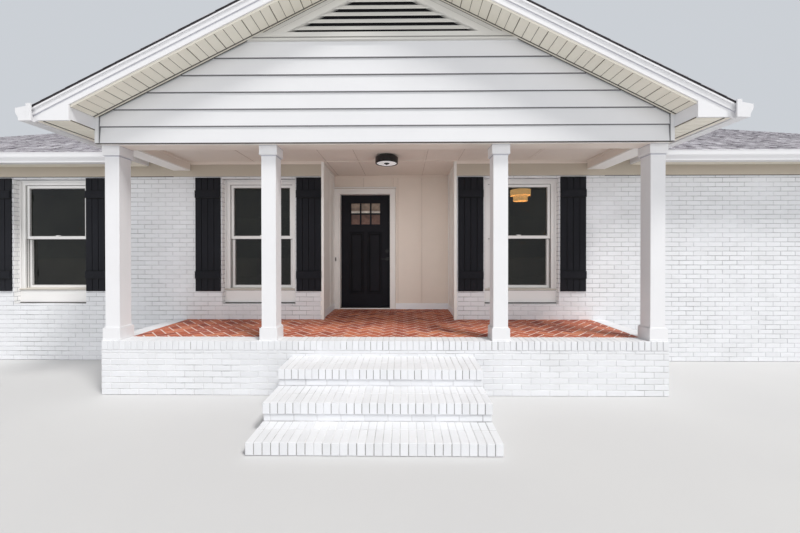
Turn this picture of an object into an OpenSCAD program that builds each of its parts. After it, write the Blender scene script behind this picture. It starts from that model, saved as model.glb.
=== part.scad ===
// White brick bungalow with a front-gable porch.
// +X runs to the right along the front, +Y runs to the back, +Z is up.
// The origin is the centre of the overall footprint, at ground level.

/* [House] */
// Length of the house over its end walls
house_length = 17200; // [16800:100:20000]
// Depth of the house over its front and back walls
house_depth = 9000; // [8000:100:11000]
// Thickness of the brick walls
wall_thickness = 240; // [200:10:300]
// Height of the floor inside, above the ground
floor_height = 626; // [600:1:640]
// Thickness of the floor
floor_thickness = 100; // [60:5:150]
// Height of the brick walls above the floor inside
brick_rise = 2120; // [2050:2:2150]
// Height of the ceiling above the soffit of the eaves
ceiling_rise = 101; // [100:1:120]
// Thickness of the ceiling boards and their joists
ceiling_thickness = 40; // [20:5:60]
// Height of the frieze boards, from the brick to the soffit
frieze_height = 155; // [120:5:200]
// Thickness of a frieze or fascia board
board_thickness = 20; // [15:1:30]

/* [Main roof] */
// Rise of the main roof for each 12 of run
main_pitch = 5; // [4:0.25:6]
// Height of the roof surface above the soffit, at the edge of the eave
eave_box = 120; // [110:5:150]
// Reach of the eaves and of the rakes past the walls
overhang = 305; // [250:5:400]
// Depth of the rafters and deck, measured upright
rafter_depth = 128; // [110:1:160]
// Depth of the shingles with their drip edge, measured upright
roofing_depth = 38; // [25:1:60]
// Reach of the shingles past the fascia
roofing_reach = 20; // [10:1:30]
// Thickness of the soffit panels
soffit_thickness = 12; // [8:1:20]
// Height of a rake board, measured upright
rake_board_height = 122; // [100:2:180]
// Height of the moulded upper band of a rake board
rake_band_height = 54; // [40:2:80]
// Reach of that band in front of the board
rake_band_reach = 10; // [5:1:15]
// Width of a ridge cap on each side of the ridge
ridge_cap_width = 150; // [100:10:200]
// Thickness of a ridge cap
ridge_cap_thickness = 15; // [8:1:25]

/* [Gutters] */
// Width of the main gutters
gutter_width = 125; // [100:5:150]
// Height of the main gutters
gutter_height = 130; // [90:2:150]
// Drop of the foot of the main gutters below the soffit
gutter_drop = 48; // [20:2:60]
// Width of the porch gutters
porch_gutter_width = 150; // [100:5:160]
// Height of the porch gutters
porch_gutter_height = 155; // [120:5:170]
// Drop of the foot of the porch gutters below the porch soffit
porch_gutter_drop = 14; // [0:1:30]
// Reach of the porch gutters past the front of the rake boards
porch_gutter_lead = 35; // [0:5:50]
// Drop of the porch gutters' outer edge below their back
porch_lip_drop = 28; // [0:1:40]
// Thickness of the gutter metal
gutter_metal = 4; // [3:0.5:6]

/* [Porch] */
// Width of the porch over its siding
porch_width = 6330; // [6200:10:6400]
// Depth of the porch from its front edge to the house wall
porch_depth = 1240; // [1200:10:1600]
// Height of the door's sill above the porch floor
sill_height = 15; // [10:1:30]
// Thickness of the paved porch floor
porch_floor_thickness = 100; // [80:5:120]
// Length of a brick, which is the width of the rowlock edge
brick_length = 194; // [185:1:215]
// Width of the ledge on the porch wall that carries the floor
porch_ledge = 97; // [60:1:120]
// Drop of the porch beams below the porch ceiling
beam_drop = 130; // [100:5:160]
// Width of the porch beams
beam_width = 225; // [200:5:240]
// Height of the porch ceiling above the soffit of the main eaves
porch_ceiling_rise = 59; // [50:1:80]
// Height of the porch soffits above the porch ceiling
porch_soffit_rise = 9; // [0:1:20]
// Thickness of the porch ceiling
porch_ceiling_thickness = 15; // [10:1:20]
// Width and depth of a column shaft
column_size = 165; // [140:5:180]
// Distance of the outer columns' middles from the sides of the porch
outer_column_inset = 71; // [60:1:100]
// Distance of the inner columns' middles from the middle of the entry
inner_column_spread = 1316; // [1200:1:1500]
// Distance of the middle of the entry to the right of the porch's middle
entry_shift = 17; // [0:1:40]
// Setback of the column shafts from the edge of the porch
column_setback = 32; // [20:1:60]
// Reach of the plinths and capitals past the shafts
band_reach = 18; // [10:1:20]
// Height of a capital
capital_height = 110; // [80:5:140]
// Height of a plinth
plinth_height = 140; // [100:5:180]

/* [Porch gable] */
// Rise of the porch roof for each 12 of run
porch_pitch = 6; // [5:0.25:6.25]
// Height of the porch roof's surface above its soffit, at the edge of the eave
porch_eave_box = 139.5; // [130:0.5:180]
// Reach of the porch eaves past the siding
porch_eave_reach = 390; // [350:5:420]
// Thickness of the boards on the sides of the porch beams
cladding = 25; // [15:1:35]
// Height of siding that each course shows
siding_exposure = 188; // [150:1:220]
// Thickness of a siding course at its lower edge
siding_butt = 20; // [12:1:25]
// Thickness of a siding course at its upper edge
siding_tip = 6; // [4:1:10]
// Depth of the framing behind the siding
gable_framing = 90; // [60:5:140]
// Half of the width of the louvred opening at its foot
vent_half_width = 1040; // [800:10:1100]
// Drop of the foot of the louvred opening below the porch ridge
vent_drop = 848; // [800:4:900]
// Height of the board under the vent
vent_board = 88; // [70:1:120]
// Spacing of the louvre blades
blade_pitch = 68; // [60:1:100]
// Width of a louvre blade
blade_width = 55; // [50:1:80]
// Thickness of a louvre blade
blade_thickness = 10; // [8:1:14]
// Slope of the louvre blades
blade_angle = 62; // [50:1:70]

/* [Steps] */
// Width of the steps
step_width = 2038; // [1600:1:2400]
// Height of the bottom step
bottom_rise = 102; // [90:1:130]
// Depth of the bottom tread
bottom_going = 335; // [300:5:420]
// Depth of the middle tread
middle_going = 375; // [300:5:420]
// Depth of the top tread
top_going = 430; // [350:5:500]
// Height of a rowlock course
rowlock_height = 102; // [90:1:110]
// Reach of the rowlock course past the course below
rowlock_nosing = 12; // [5:1:20]

/* [Entry] */
// Half of the width of the entry recess
recess_half_width = 1003; // [980:1:1040]
// Depth of the entry recess
recess_depth = 930; // [900:5:1200]
// Thickness of the boards on the front corners of the recess
corner_board = 36; // [20:1:40]
// Thickness of the boards that line the entry's front corners
entry_lining = 20; // [12:1:30]
// Thickness of the boarded entry walls
entry_wall_thickness = 150; // [120:5:160]
// Distance of the hinge jamb's face from the middle of the entry
hinge_jamb_x = 910; // [900:1:915]
// Width of the door leaf
door_width = 888; // [850:1:900]
// Height of the door leaf
door_height = 2006; // [1950:1:2032]
// Thickness of the door leaf
door_thickness = 45; // [40:1:50]
// Gap between the leaf and the hinge jamb
hinge_gap = 5; // [5:0.5:7]
// Gap between the leaf and the latch jamb
latch_gap = 7; // [7:0.5:10]
// Gap over and under the leaf
door_gap = 6; // [5:0.5:8]
// Thickness of the door jambs
jamb_thickness = 32; // [25:1:35]
// Width of the door casing
casing_width = 85; // [60:1:90]
// Width of the stop that the door closes on
stop_width = 12; // [10:1:15]
// Distance of the door glass from the sides of the leaf
lite_side_margin = 185; // [150:5:220]
// Height of the door glass
lite_height = 378; // [300:1:420]
// Distance of the door glass from the top of the leaf
lite_top_margin = 150; // [120:5:180]
// Width of the bars between the panes of the door
lite_bar = 26; // [20:1:40]
// Height of a hinge of the door
hinge_height = 90; // [80:5:120]
// Thickness of a hinge's plates
hinge_leaf = 2; // [1.5:0.1:2.2]
// Width of a hinge's plates
hinge_leaf_width = 35; // [25:1:38]
// Radius of a hinge's knuckles
knuckle_radius = 6.5; // [5:0.5:8]
// Radius of a hinge's pin
pin_radius = 3; // [2.5:0.1:4]
// Distance of the lever from the edge of the leaf
backset = 60; // [55:1:70]
// Height of the lever above the bottom of the leaf
lever_height = 859; // [850:1:1000]
// Length of the lever
lever_length = 105; // [90:5:120]
// Radius of the lever's spindle
spindle_radius = 6; // [5:0.5:8]
// Radius of the round plates of the lever and the lock
rose_radius = 32; // [28:1:36]
// Thickness of the round plates
rose_thickness = 10; // [8:1:14]

/* [Windows] */
// Distance between the entry and the left porch window's shutter
left_shutter_distance = 1; // [1:1:20]
// Distance between the entry and the right porch window's shutter
right_shutter_distance = 22; // [1:1:40]
// Distance of the left wing's window from the middle of the porch
left_window_x = 5083; // [4900:1:5200]
// Distance of the right wing's window from the middle of the porch
right_window_x = 7250; // [7150:10:7300]
// Width of a window opening in the brick
window_width = 1100; // [1000:10:1120]
// Height of a window opening, with its apron board
window_height = 1869; // [1800:1:1900]
// Height of the brick over a window opening
lintel_height = 34; // [10:2:100]
// Height of the apron board under the sashes
apron_height = 222; // [180:2:240]
// Width of the casing beside the sashes
window_casing = 75; // [60:5:90]
// Width of the casing over the sashes
window_head_casing = 70; // [40:2:90]
// Setback of the window frame from the brick face
window_setback = 90; // [60:5:110]
// Width of a sash bar
sash_bar = 52; // [40:1:60]
// Thickness of a sash
sash_thickness = 35; // [30:1:40]
// Thickness of the window glass
glass_thickness = 6; // [4:1:10]

/* [Shutters] */
// Width of a shutter
shutter_width = 372; // [300:1:380]
// Reach of a shutter above the window opening
shutter_rise = 13; // [0:1:20]
// Reach of a shutter below the sashes
shutter_drop = 31; // [0:1:60]
// Gap between the window opening and a shutter
shutter_gap = 18; // [10:1:30]
// Number of boards in a shutter
shutter_boards = 4; // [3:1:6]
// Thickness of the boards
shutter_board_thickness = 22; // [18:1:25]
// Height of a shutter rail
shutter_rail_height = 110; // [80:5:140]
// Distance of the rails from the ends of the shutter
shutter_rail_offset = 190; // [120:5:240]
// Thickness of a shutter rail
shutter_rail_thickness = 18; // [12:1:22]
// Width and depth of the grooves between the boards
shutter_groove = 9; // [4:1:10]

/* [Lamps] */
// Radius of the porch lamp
lamp_radius = 155; // [120:5:180]
// Height of the porch lamp
lamp_height = 130; // [80:5:150]
// Distance of the porch lamp in front of the house wall
lamp_setback = 300; // [200:10:500]
// Distance of the pendant lamp to the right of the right porch window's middle
pendant_offset = 323; // [0:1:400]
// Distance of the pendant lamp behind the front wall's outer face
pendant_setback = 1000; // [700:10:1500]
// Radius of the pendant lamp's upper shade
pendant_radius = 167; // [150:1:220]
// Length of the pendant lamp's rod
pendant_rod = 380; // [300:10:500]

/* [Hidden] */
$fn = 48;

// A hair of overlap that keeps a cut from ending on a face
cut = 10;
// The open seam where a sloping face lies on another piece
seam = 1;

// Places along the front, with Y measured from the outer face of the front wall
house_half = house_length / 2;
porch_half = porch_width / 2;
porch_edge_y = -porch_depth;
siding_y = porch_edge_y - 70;
fascia_y = siding_y - overhang;
column_y = porch_edge_y + column_setback + column_size / 2;
beam_back_y = column_y + column_size / 2;
beam_front_y = siding_y + siding_butt + siding_tip;
outer_column_x = porch_half - outer_column_inset;
porch_base_half = outer_column_x + column_size / 2 + band_reach;
beam_inner_x = porch_half - beam_width;
step_front_y = porch_edge_y - top_going - middle_going - bottom_going;
eave_edge_y = -overhang - board_thickness;
entry_back_y = recess_depth + entry_wall_thickness;

// The footprint's box, whose centre is the origin
reach_front = -step_front_y;
reach_back = house_depth - eave_edge_y + gutter_width;
front_wall_y = (reach_front - reach_back) / 2;

// Heights and slopes
main_slope = main_pitch / 12;
porch_slope = porch_pitch / 12;
roof_depth = rafter_depth + roofing_depth;
rake_drop = roofing_depth + rake_board_height;
ridge_y = house_depth / 2;
brick_top = floor_height + brick_rise;
soffit_height = brick_top + frieze_height;
soffit_top = soffit_height + soffit_thickness;
eave_height = soffit_height + eave_box;
ceiling_height = soffit_height + ceiling_rise;
plate_height = ceiling_height + ceiling_thickness;
gutter_foot = soffit_height - gutter_drop;
porch_floor_height = floor_height - sill_height;
porch_ceiling_height = soffit_height + porch_ceiling_rise;
porch_soffit_height = porch_ceiling_height + porch_soffit_rise;
porch_soffit_top = porch_soffit_height + soffit_thickness;
porch_gutter_foot = porch_soffit_height - porch_gutter_drop;
porch_eave_x = porch_half + porch_eave_reach;
porch_ridge_height = porch_soffit_height + porch_eave_box + porch_slope * porch_eave_x;
main_eave_end_x = porch_eave_x + roofing_reach + 5;
corner_x = porch_half + cladding;
return_x = corner_x;
beam_underside = porch_ceiling_height - beam_drop;
beam_top = porch_ceiling_height + 30;
vent_foot = porch_ridge_height - vent_drop;
upper_risers = 3;
step_rise = (porch_floor_height - bottom_rise) / upper_risers;

// The sides of the entry recess
recess_left = entry_shift - recess_half_width;
recess_right = entry_shift + recess_half_width;

// Door places
hinge_face_x = entry_shift - hinge_jamb_x;
latch_face_x = hinge_face_x + hinge_gap + door_width + latch_gap;
door_foot = floor_height + door_gap;
door_head = door_foot + door_height;
frame_head = door_head + door_gap;
door_back_y = entry_back_y;
door_front_y = door_back_y - door_thickness;
leaf_x = hinge_face_x + hinge_gap;
lever_x = leaf_x + door_width - backset;
lever_z = door_foot + lever_height;
lock_z = lever_z + 140;
lite_x = leaf_x + lite_side_margin;
lite_width = door_width - 2 * lite_side_margin;
lite_z = door_head - lite_top_margin - lite_height;

// Window places
window_head = brick_top - lintel_height;
window_foot = window_head - window_height;
sash_foot = window_foot + apron_height;
shutter_foot = sash_foot - shutter_drop;
shutter_height = window_head + shutter_rise - shutter_foot;
shutter_reach = window_width / 2 + shutter_gap + shutter_width;
left_porch_window_x = shutter_reach - recess_left + left_shutter_distance;
right_porch_window_x = shutter_reach + recess_right + right_shutter_distance;
sash_head = window_head - window_head_casing;
sash_width = window_width - 2 * window_casing;
upper_sash_y = window_setback + 25;
lower_sash_y = upper_sash_y + sash_thickness + 3;
meeting_drop = 36;
meeting_z = (sash_foot + sash_head) / 2 - meeting_drop;

// Height of the main roof's surface at a place y on its front slope
function main_top(y) = eave_height + main_slope * (y + overhang);
main_ridge_height = main_top(ridge_y);
// Height of the porch roof's surface at a distance x from its ridge
function porch_top(x) = porch_ridge_height - porch_slope * x;

// Moves a piece from the front wall's frame to the origin's frame
module placed() { translate([0, front_wall_y, 0]) children(); }
// A box from its lowest to its highest corner
module block(low, high) { translate(low) cube(high - low); }
// An outline in Y and Z, extruded along X from x0 to x1
module along_x(x0, x1) { translate([x0, 0, 0]) rotate([90, 0, 90]) linear_extrude(x1 - x0) children(); }
// An outline in X and Z, extruded along Y from y0 to y1
module along_y(y0, y1) { translate([0, y1, 0]) rotate([90, 0, 0]) linear_extrude(y1 - y0) children(); }
// The child and its mirror image across the middle of the porch
module both_sides() { children(); mirror([1, 0, 0]) children(); }
// The child and its mirror image across the middle of the house's depth
module front_and_back() { children(); translate([0, house_depth, 0]) mirror([0, 1, 0]) children(); }

// Everything under the rafters of the main roof
module under_main_roof() {
    along_x(-house_half - cut, house_half + cut) polygon([
        [-cut, -cut], [house_depth + cut, -cut],
        [house_depth + cut, main_top(-cut) - roof_depth - seam],
        [ridge_y, main_ridge_height - roof_depth - seam], [-cut, main_top(-cut) - roof_depth - seam]]);
}

// Everything behind the front wall's face and under the surface of the main roof
module under_main_surface() {
    along_x(-house_half, house_half) polygon([
        [-seam, 0], [house_depth, 0], [house_depth, main_ridge_height],
        [ridge_y, main_ridge_height], [-seam, main_top(-seam)]]);
}

// Steps

// One step: a stretcher core under a rowlock course with a small nosing
module step_slab(foot, head, depth) {
    core_top = max(foot, head - rowlock_height);
    half = step_width / 2;
    color("white") placed() {
        if (core_top > foot)
            block([-half, porch_edge_y - depth + rowlock_nosing, foot], [half, porch_edge_y, core_top]);
        block([-half, porch_edge_y - depth, core_top], [half, porch_edge_y, head]);
    }
}
module step_bottom() { step_slab(0, bottom_rise, bottom_going + middle_going + top_going); }
module step_middle() { step_slab(bottom_rise, bottom_rise + step_rise, middle_going + top_going); }
module step_top() { step_slab(bottom_rise + step_rise, bottom_rise + 2 * step_rise, top_going); }

// Porch base

// Brick walls on three sides with a ledge for the floor, and a pier up to the door
module porch_foundation() {
    ledge_height = porch_floor_height - porch_floor_thickness;
    inner = porch_base_half - brick_length;
    color("white") placed() difference() {
        union() {
            block([-porch_base_half, porch_edge_y, 0], [porch_base_half, 0, porch_floor_height]);
            block([recess_left, -cut, 0], [recess_right, recess_depth, ledge_height]);
        }
        block([-inner, porch_edge_y + brick_length, ledge_height], [inner, cut, porch_floor_height + cut]);
        for (span = [[porch_ledge - inner, recess_left], [recess_right, inner - porch_ledge]])
            block([span[0], porch_edge_y + brick_length + porch_ledge, -cut],
                [span[1], cut, ledge_height + cut]);
    }
}

// Red brick paving on its slab, which runs on into the entry recess
module porch_floor() {
    inner = porch_base_half - brick_length;
    ledge_height = porch_floor_height - porch_floor_thickness;
    color("firebrick") placed() {
        block([-inner, porch_edge_y + brick_length, ledge_height], [inner, 0, porch_floor_height]);
        block([recess_left, -cut, ledge_height], [recess_right, recess_depth, porch_floor_height]);
    }
}

// Walls

// The hole in a wall for a window whose middle is at x
module window_hole(x) {
    half = window_width / 2;
    block([x - half, -cut, window_foot], [x + half, wall_thickness + cut, window_head]);
}

// The zone above the eaves at each end, which the siding of the end gables fills
module end_gable_zone() {
    both_sides() block([house_half - gable_framing, -cut, soffit_height],
        [house_half + cut, house_depth + cut, main_ridge_height]);
}

// A front wall from x0 to x1, up to the rafters
module front_wall(x0, x1) {
    color("whitesmoke") placed() difference() {
        intersection() {
            block([x0, 0, 0], [x1, wall_thickness, plate_height]);
            under_main_roof();
        }
        children();
        end_gable_zone();
    }
}
module front_wall_left() {
    front_wall(-house_half, recess_left - entry_lining) {
        window_hole(-left_window_x);
        window_hole(-left_porch_window_x);
    }
}
module front_wall_right() {
    front_wall(recess_right + entry_lining, house_half) {
        window_hole(right_porch_window_x);
        window_hole(right_window_x);
    }
}

// The places of the back windows, which repeat the front ones
window_places = [-left_window_x, -left_porch_window_x, right_porch_window_x, right_window_x];
module back_wall() {
    color("whitesmoke") placed() difference() {
        intersection() {
            block([-house_half, house_depth - wall_thickness, 0], [house_half, house_depth, plate_height]);
            under_main_roof();
        }
        for (x = window_places) translate([0, house_depth - wall_thickness, 0]) window_hole(x);
        end_gable_zone();
    }
}

// Turns a piece made for the front wall so that it stands in the middle of the left end wall
module on_left_end() { translate([-house_half, ridge_y, 0]) rotate([0, 0, -90]) children(); }

module end_walls() {
    color("whitesmoke") placed() both_sides() difference() {
        block([-house_half, wall_thickness, 0],
            [-house_half + wall_thickness, house_depth - wall_thickness, soffit_height]);
        on_left_end() window_hole(0);
    }
}

// The boarded side walls of the entry recess, with a thick board on each front corner
module entry_side_walls() {
    board_front = -20;
    board_back = 70;
    half = recess_half_width;
    color("whitesmoke") placed() for (side = [0, 1]) translate([entry_shift, 0, 0])
        mirror([side, 0, 0]) {
            intersection() {
                union() {
                    block([half, 0, 0], [half + entry_lining, entry_back_y, plate_height]);
                    block([half, wall_thickness, 0],
                        [half + entry_wall_thickness, entry_back_y, plate_height]);
                }
                under_main_roof();
            }
            block([half - corner_board, board_front, porch_floor_height],
                [half, board_back, porch_ceiling_height]);
        }
}
module entry_wall_beside_door() {
    color("whitesmoke") placed() {
        block([latch_face_x + jamb_thickness, recess_depth, 0], [recess_right, entry_back_y, plate_height]);
        block([recess_left, recess_depth, 0], [hinge_face_x - jamb_thickness, entry_back_y, plate_height]);
    }
}
module entry_wall_over_door() {
    color("whitesmoke") placed() {
        block([hinge_face_x - jamb_thickness, recess_depth, frame_head + jamb_thickness],
            [latch_face_x + jamb_thickness, entry_back_y, plate_height]);
        block([hinge_face_x - jamb_thickness, recess_depth, 0],
            [latch_face_x + jamb_thickness, entry_back_y, porch_floor_height]);
    }
}

// Lap siding in Y and Z: tapered courses from a foot to a head, with the framing behind them
module lap_profile(foot, head, framing_foot, framing) {
    courses = ceil((head - foot) / siding_exposure);
    back = siding_butt + siding_tip;
    front_points = [for (i = [0:courses - 1], end = [0, 1])
        [end * (siding_butt - siding_tip), foot + (i + end) * siding_exposure]];
    top = foot + courses * siding_exposure;
    polygon(concat(front_points, [
        [back + framing, top], [back + framing, framing_foot], [back, framing_foot], [back, foot]]));
}

// The siding of the two end gables, over the end walls
module end_gables() {
    back = siding_butt + siding_tip;
    color("white") placed() both_sides() intersection() {
        translate([-house_half - siding_butt, 0, 0]) rotate([90, 0, 0]) mirror([0, 0, 1])
            linear_extrude(house_depth)
                lap_profile(soffit_height, main_ridge_height, soffit_height, gable_framing - siding_tip);
        along_x(-house_half - back, 0) polygon([
            [0, soffit_height], [house_depth, soffit_height],
            [house_depth, main_top(0) - roof_depth - seam],
            [ridge_y, main_ridge_height - roof_depth - seam], [0, main_top(0) - roof_depth - seam]]);
    }
}

// Floor and ceiling of the rooms, cut away round the entry recess
module room_slab(foot, head) {
    inner_x = house_half - wall_thickness;
    placed() difference() {
        block([-inner_x, wall_thickness, foot], [inner_x, house_depth - wall_thickness, head]);
        block([recess_left - entry_wall_thickness, 0, foot - cut],
            [recess_right + entry_wall_thickness, entry_back_y, head + cut]);
    }
}
module house_floor() { color("peru") room_slab(floor_height - floor_thickness, floor_height); }
module house_ceiling() { color("white") room_slab(ceiling_height, plate_height); }

// Frieze boards between the brick and the soffits
module frieze_boards() {
    color("white") placed() {
        both_sides() {
            block([main_eave_end_x, -board_thickness, brick_top], [house_half, 0, soffit_height]);
            block([corner_x, -board_thickness, brick_top], [main_eave_end_x, 0, porch_soffit_height]);
        }
        for (span = [[-corner_x, recess_left], [recess_right, corner_x]])
            block([span[0], -board_thickness, brick_top], [span[1], 0, porch_ceiling_height]);
        block([-house_half, house_depth, brick_top],
            [house_half, house_depth + board_thickness, soffit_height]);
    }
}

// Main roof

// Half of the main roof in Y and Z: rafters cut level over the soffit, and shingles past the fascia
module slope_profile() {
    level_y = (soffit_top + roof_depth - eave_height) / main_slope - overhang;
    tip_y = eave_edge_y - roofing_reach;
    polygon([
        [-overhang, soffit_top], [-overhang, main_top(-overhang) - roofing_depth],
        [tip_y, main_top(tip_y) - roofing_depth], [tip_y, main_top(tip_y)],
        [ridge_y, main_ridge_height], [ridge_y, main_ridge_height - roof_depth], [level_y, soffit_top]]);
}

// Shingles reach past the rake boards at each end, and the rafters stop behind them
module main_slope_solid() {
    end_x = house_half + overhang;
    difference() {
        along_x(-end_x - roofing_reach, end_x + roofing_reach) slope_profile();
        both_sides() along_x(end_x - board_thickness, end_x + roofing_reach + cut) polygon([
            [-overhang - cut, 0], [ridge_y, 0], [ridge_y, main_ridge_height - roofing_depth],
            [-overhang - cut, main_top(-overhang - cut) - roofing_depth]]);
    }
}
module roof_front_slope() {
    color("dimgray") placed() difference() {
        main_slope_solid();
        block([-main_eave_end_x, eave_edge_y - roofing_reach - cut, 0],
            [main_eave_end_x, 0, main_ridge_height]);
        block([recess_left, -cut, 0],
            [recess_right, recess_depth, porch_ceiling_height + porch_ceiling_thickness]);
    }
}
module roof_back_slope() {
    color("dimgray") placed() translate([0, house_depth, 0]) mirror([0, 1, 0]) main_slope_solid();
}

// Porch roof

// Half of the porch roof in X and Z, on the right side
module porch_slope_profile() {
    inner_x = porch_eave_x - board_thickness;
    level_x = (porch_ridge_height - roof_depth - porch_soffit_top) / porch_slope;
    tip_x = porch_eave_x + roofing_reach;
    polygon([
        [0, porch_ridge_height], [tip_x, porch_top(tip_x)], [tip_x, porch_top(tip_x) - roofing_depth],
        [inner_x, porch_top(inner_x) - roofing_depth], [inner_x, porch_soffit_top],
        [min(level_x, inner_x), porch_soffit_top], [0, porch_ridge_height - roof_depth]]);
}
module porch_roof_half() {
    tip_y = fascia_y - roofing_reach;
    color("dimgray") placed() difference() {
        along_y(tip_y, ridge_y) porch_slope_profile();
        along_y(tip_y - cut, fascia_y + board_thickness) polygon([
            [0, 0], [porch_eave_x, 0], [porch_eave_x, porch_top(porch_eave_x) - roofing_depth],
            [0, porch_ridge_height - roofing_depth]]);
        under_main_surface();
    }
}
module porch_roof_right() { porch_roof_half(); }
module porch_roof_left() { mirror([1, 0, 0]) porch_roof_half(); }

// A folded cap over a ridge, in the plane across the ridge
module cap_profile(height, slope) {
    drop = slope * ridge_cap_width;
    polygon([
        [0, height], [ridge_cap_width, height - drop],
        [ridge_cap_width, height - drop + ridge_cap_thickness], [0, height + ridge_cap_thickness],
        [-ridge_cap_width, height - drop + ridge_cap_thickness], [-ridge_cap_width, height - drop]]);
}
module ridge_caps() {
    main_end = house_half + overhang + roofing_reach;
    color("gray") placed() {
        along_x(-main_end, main_end) translate([ridge_y, 0]) cap_profile(main_ridge_height, main_slope);
        difference() {
            along_y(fascia_y - roofing_reach, ridge_y) cap_profile(porch_ridge_height, porch_slope);
            under_main_surface();
        }
    }
}

// Trim of the main roof

// Fascia boards along the front eaves, on both sides of the porch, and along the back eave
module eave_fascias() {
    end_x = house_half + overhang - board_thickness;
    head = main_top(eave_edge_y) - roofing_depth - seam;
    color("white") placed() {
        both_sides() {
            block([main_eave_end_x, eave_edge_y, soffit_height], [end_x, -overhang, head]);
            block([main_eave_end_x - board_thickness, eave_edge_y, soffit_height],
                [main_eave_end_x, -board_thickness, head]);
        }
        block([-end_x, house_depth + overhang, soffit_height], [end_x, house_depth - eave_edge_y, head]);
    }
}

// Level soffits under the eaves, and sloping ones under the rakes at the two ends
module main_soffits() {
    end_x = house_half + overhang - board_thickness;
    foot = main_top(0) - roof_depth;
    ridge_foot = main_ridge_height - roof_depth;
    ridge_gap = 3;
    color("beige") placed() {
        both_sides() block([main_eave_end_x, -overhang, soffit_height], [end_x, 0, soffit_top]);
        block([-end_x, house_depth, soffit_height], [end_x, house_depth + overhang, soffit_top]);
        both_sides() along_x(house_half + siding_butt, end_x) for (flip = [0, 1])
            translate([flip * house_depth, 0]) mirror([flip, 0]) polygon([
                [0, foot - seam], [ridge_y - ridge_gap, ridge_foot - main_slope * ridge_gap - seam],
                [ridge_y - ridge_gap, ridge_foot - main_slope * ridge_gap - soffit_thickness],
                [0, foot - soffit_thickness]]);
    }
}

// The upright outline of a rake board between two depths below the roof surface, in Y and Z
module main_rake_outline(upper, lower) {
    edge = eave_edge_y;
    polygon([
        [edge, main_top(edge) - upper], [ridge_y, main_ridge_height - upper],
        [house_depth - edge, main_top(edge) - upper],
        [house_depth - edge, main_top(edge) - lower], [ridge_y, main_ridge_height - lower],
        [edge, main_top(edge) - lower]]);
}
// The boxed return at the foot of a main rake, in Y and Z
module main_return_outline() {
    polygon([
        [eave_edge_y, soffit_height], [0, soffit_height], [0, main_top(0) - roof_depth - soffit_thickness],
        [0, main_top(0) - rake_drop + cut], [eave_edge_y, main_top(eave_edge_y) - roofing_depth - seam]]);
}
module end_rake_boards() {
    outer = house_half + overhang;
    color("white") placed() both_sides() {
        along_x(outer - board_thickness, outer) {
            main_rake_outline(roofing_depth + seam, rake_drop);
            main_return_outline();
            translate([house_depth, 0]) mirror([1, 0]) main_return_outline();
        }
        along_x(outer, outer + rake_band_reach)
            main_rake_outline(roofing_depth + seam, roofing_depth + rake_band_height);
    }
}

// Trim of the porch roof

// The upright outline of the porch rake boards between two depths, in X and Z
module porch_rake_outline(upper, lower) {
    edge = porch_eave_x;
    polygon([
        [-edge, porch_top(edge) - upper], [0, porch_ridge_height - upper], [edge, porch_top(edge) - upper],
        [edge, porch_top(edge) - lower], [0, porch_ridge_height - lower], [-edge, porch_top(edge) - lower]]);
}
// The front of a boxed eave return, in X and Z
module return_outline() {
    polygon([
        [return_x, porch_soffit_height], [porch_eave_x, porch_soffit_height],
        [porch_eave_x, porch_top(porch_eave_x) - roofing_depth - seam],
        [return_x, porch_top(return_x) - rake_drop + cut]]);
}
module porch_fascia() {
    back = fascia_y + board_thickness;
    color("white") placed() {
        along_y(fascia_y, back) {
            porch_rake_outline(roofing_depth + seam, rake_drop);
            return_outline();
            mirror([1, 0]) return_outline();
        }
        along_y(fascia_y - rake_band_reach, fascia_y)
            porch_rake_outline(roofing_depth + seam, roofing_depth + rake_band_height);
        both_sides() {
            block([porch_eave_x - board_thickness, fascia_y, porch_soffit_height],
                [porch_eave_x, -board_thickness, porch_top(porch_eave_x) - roofing_depth - seam]);
            along_y(back - 1, siding_y) polygon([
                [return_x, porch_soffit_top], [return_x + board_thickness, porch_soffit_top],
                [return_x + board_thickness, porch_top(return_x + board_thickness) - roof_depth - seam],
                [return_x, porch_top(return_x) - roof_depth - seam]]);
        }
    }
}

// Level soffits under the porch eaves, and sloping ones under the porch rakes
module porch_soffits() {
    back = fascia_y + board_thickness;
    ridge_gap = 3;
    color("beige") placed() {
        both_sides() {
            block([corner_x, back, porch_soffit_height],
                [porch_eave_x - board_thickness, -board_thickness, porch_soffit_top]);
            along_y(back, siding_y) polygon([
                [ridge_gap, porch_top(ridge_gap) - roof_depth - seam],
                [return_x, porch_top(return_x) - roof_depth - seam],
                [return_x, porch_top(return_x) - roof_depth - soffit_thickness],
                [ridge_gap, porch_top(ridge_gap) - roof_depth - soffit_thickness]]);
        }
    }
}

// Gutters

// The curved face of an ogee gutter, between its knee and its shoulder
gutter_foot_part = 0.8;
gutter_knee_part = 0.12;
gutter_shoulder_part = 0.6;
function ogee(foot_width, width, height) = let (knee = gutter_knee_part * height,
    rise = gutter_shoulder_part * height - knee) [for (t = [0:0.125:1])
        [foot_width + (width - foot_width) * (1 - cos(180 * t)) / 2, knee + rise * t]];
// A gutter in section: x runs outwards from the fascia and y runs up from the gutter's foot
module gutter_section(width, height, lip) {
    foot_width = gutter_foot_part * width;
    polygon(concat([[0, 0], [foot_width, 0]], ogee(foot_width, width, height),
        [[width, lip], [0, height]]));
}
// The hollow of that gutter
module gutter_hollow(width, height) {
    foot_width = gutter_foot_part * width - gutter_metal;
    reach = width - gutter_metal;
    polygon(concat([[gutter_metal, gutter_metal], [foot_width, gutter_metal]],
        ogee(foot_width, reach, height), [[reach, height + cut], [gutter_metal, height + cut]]));
}
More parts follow.
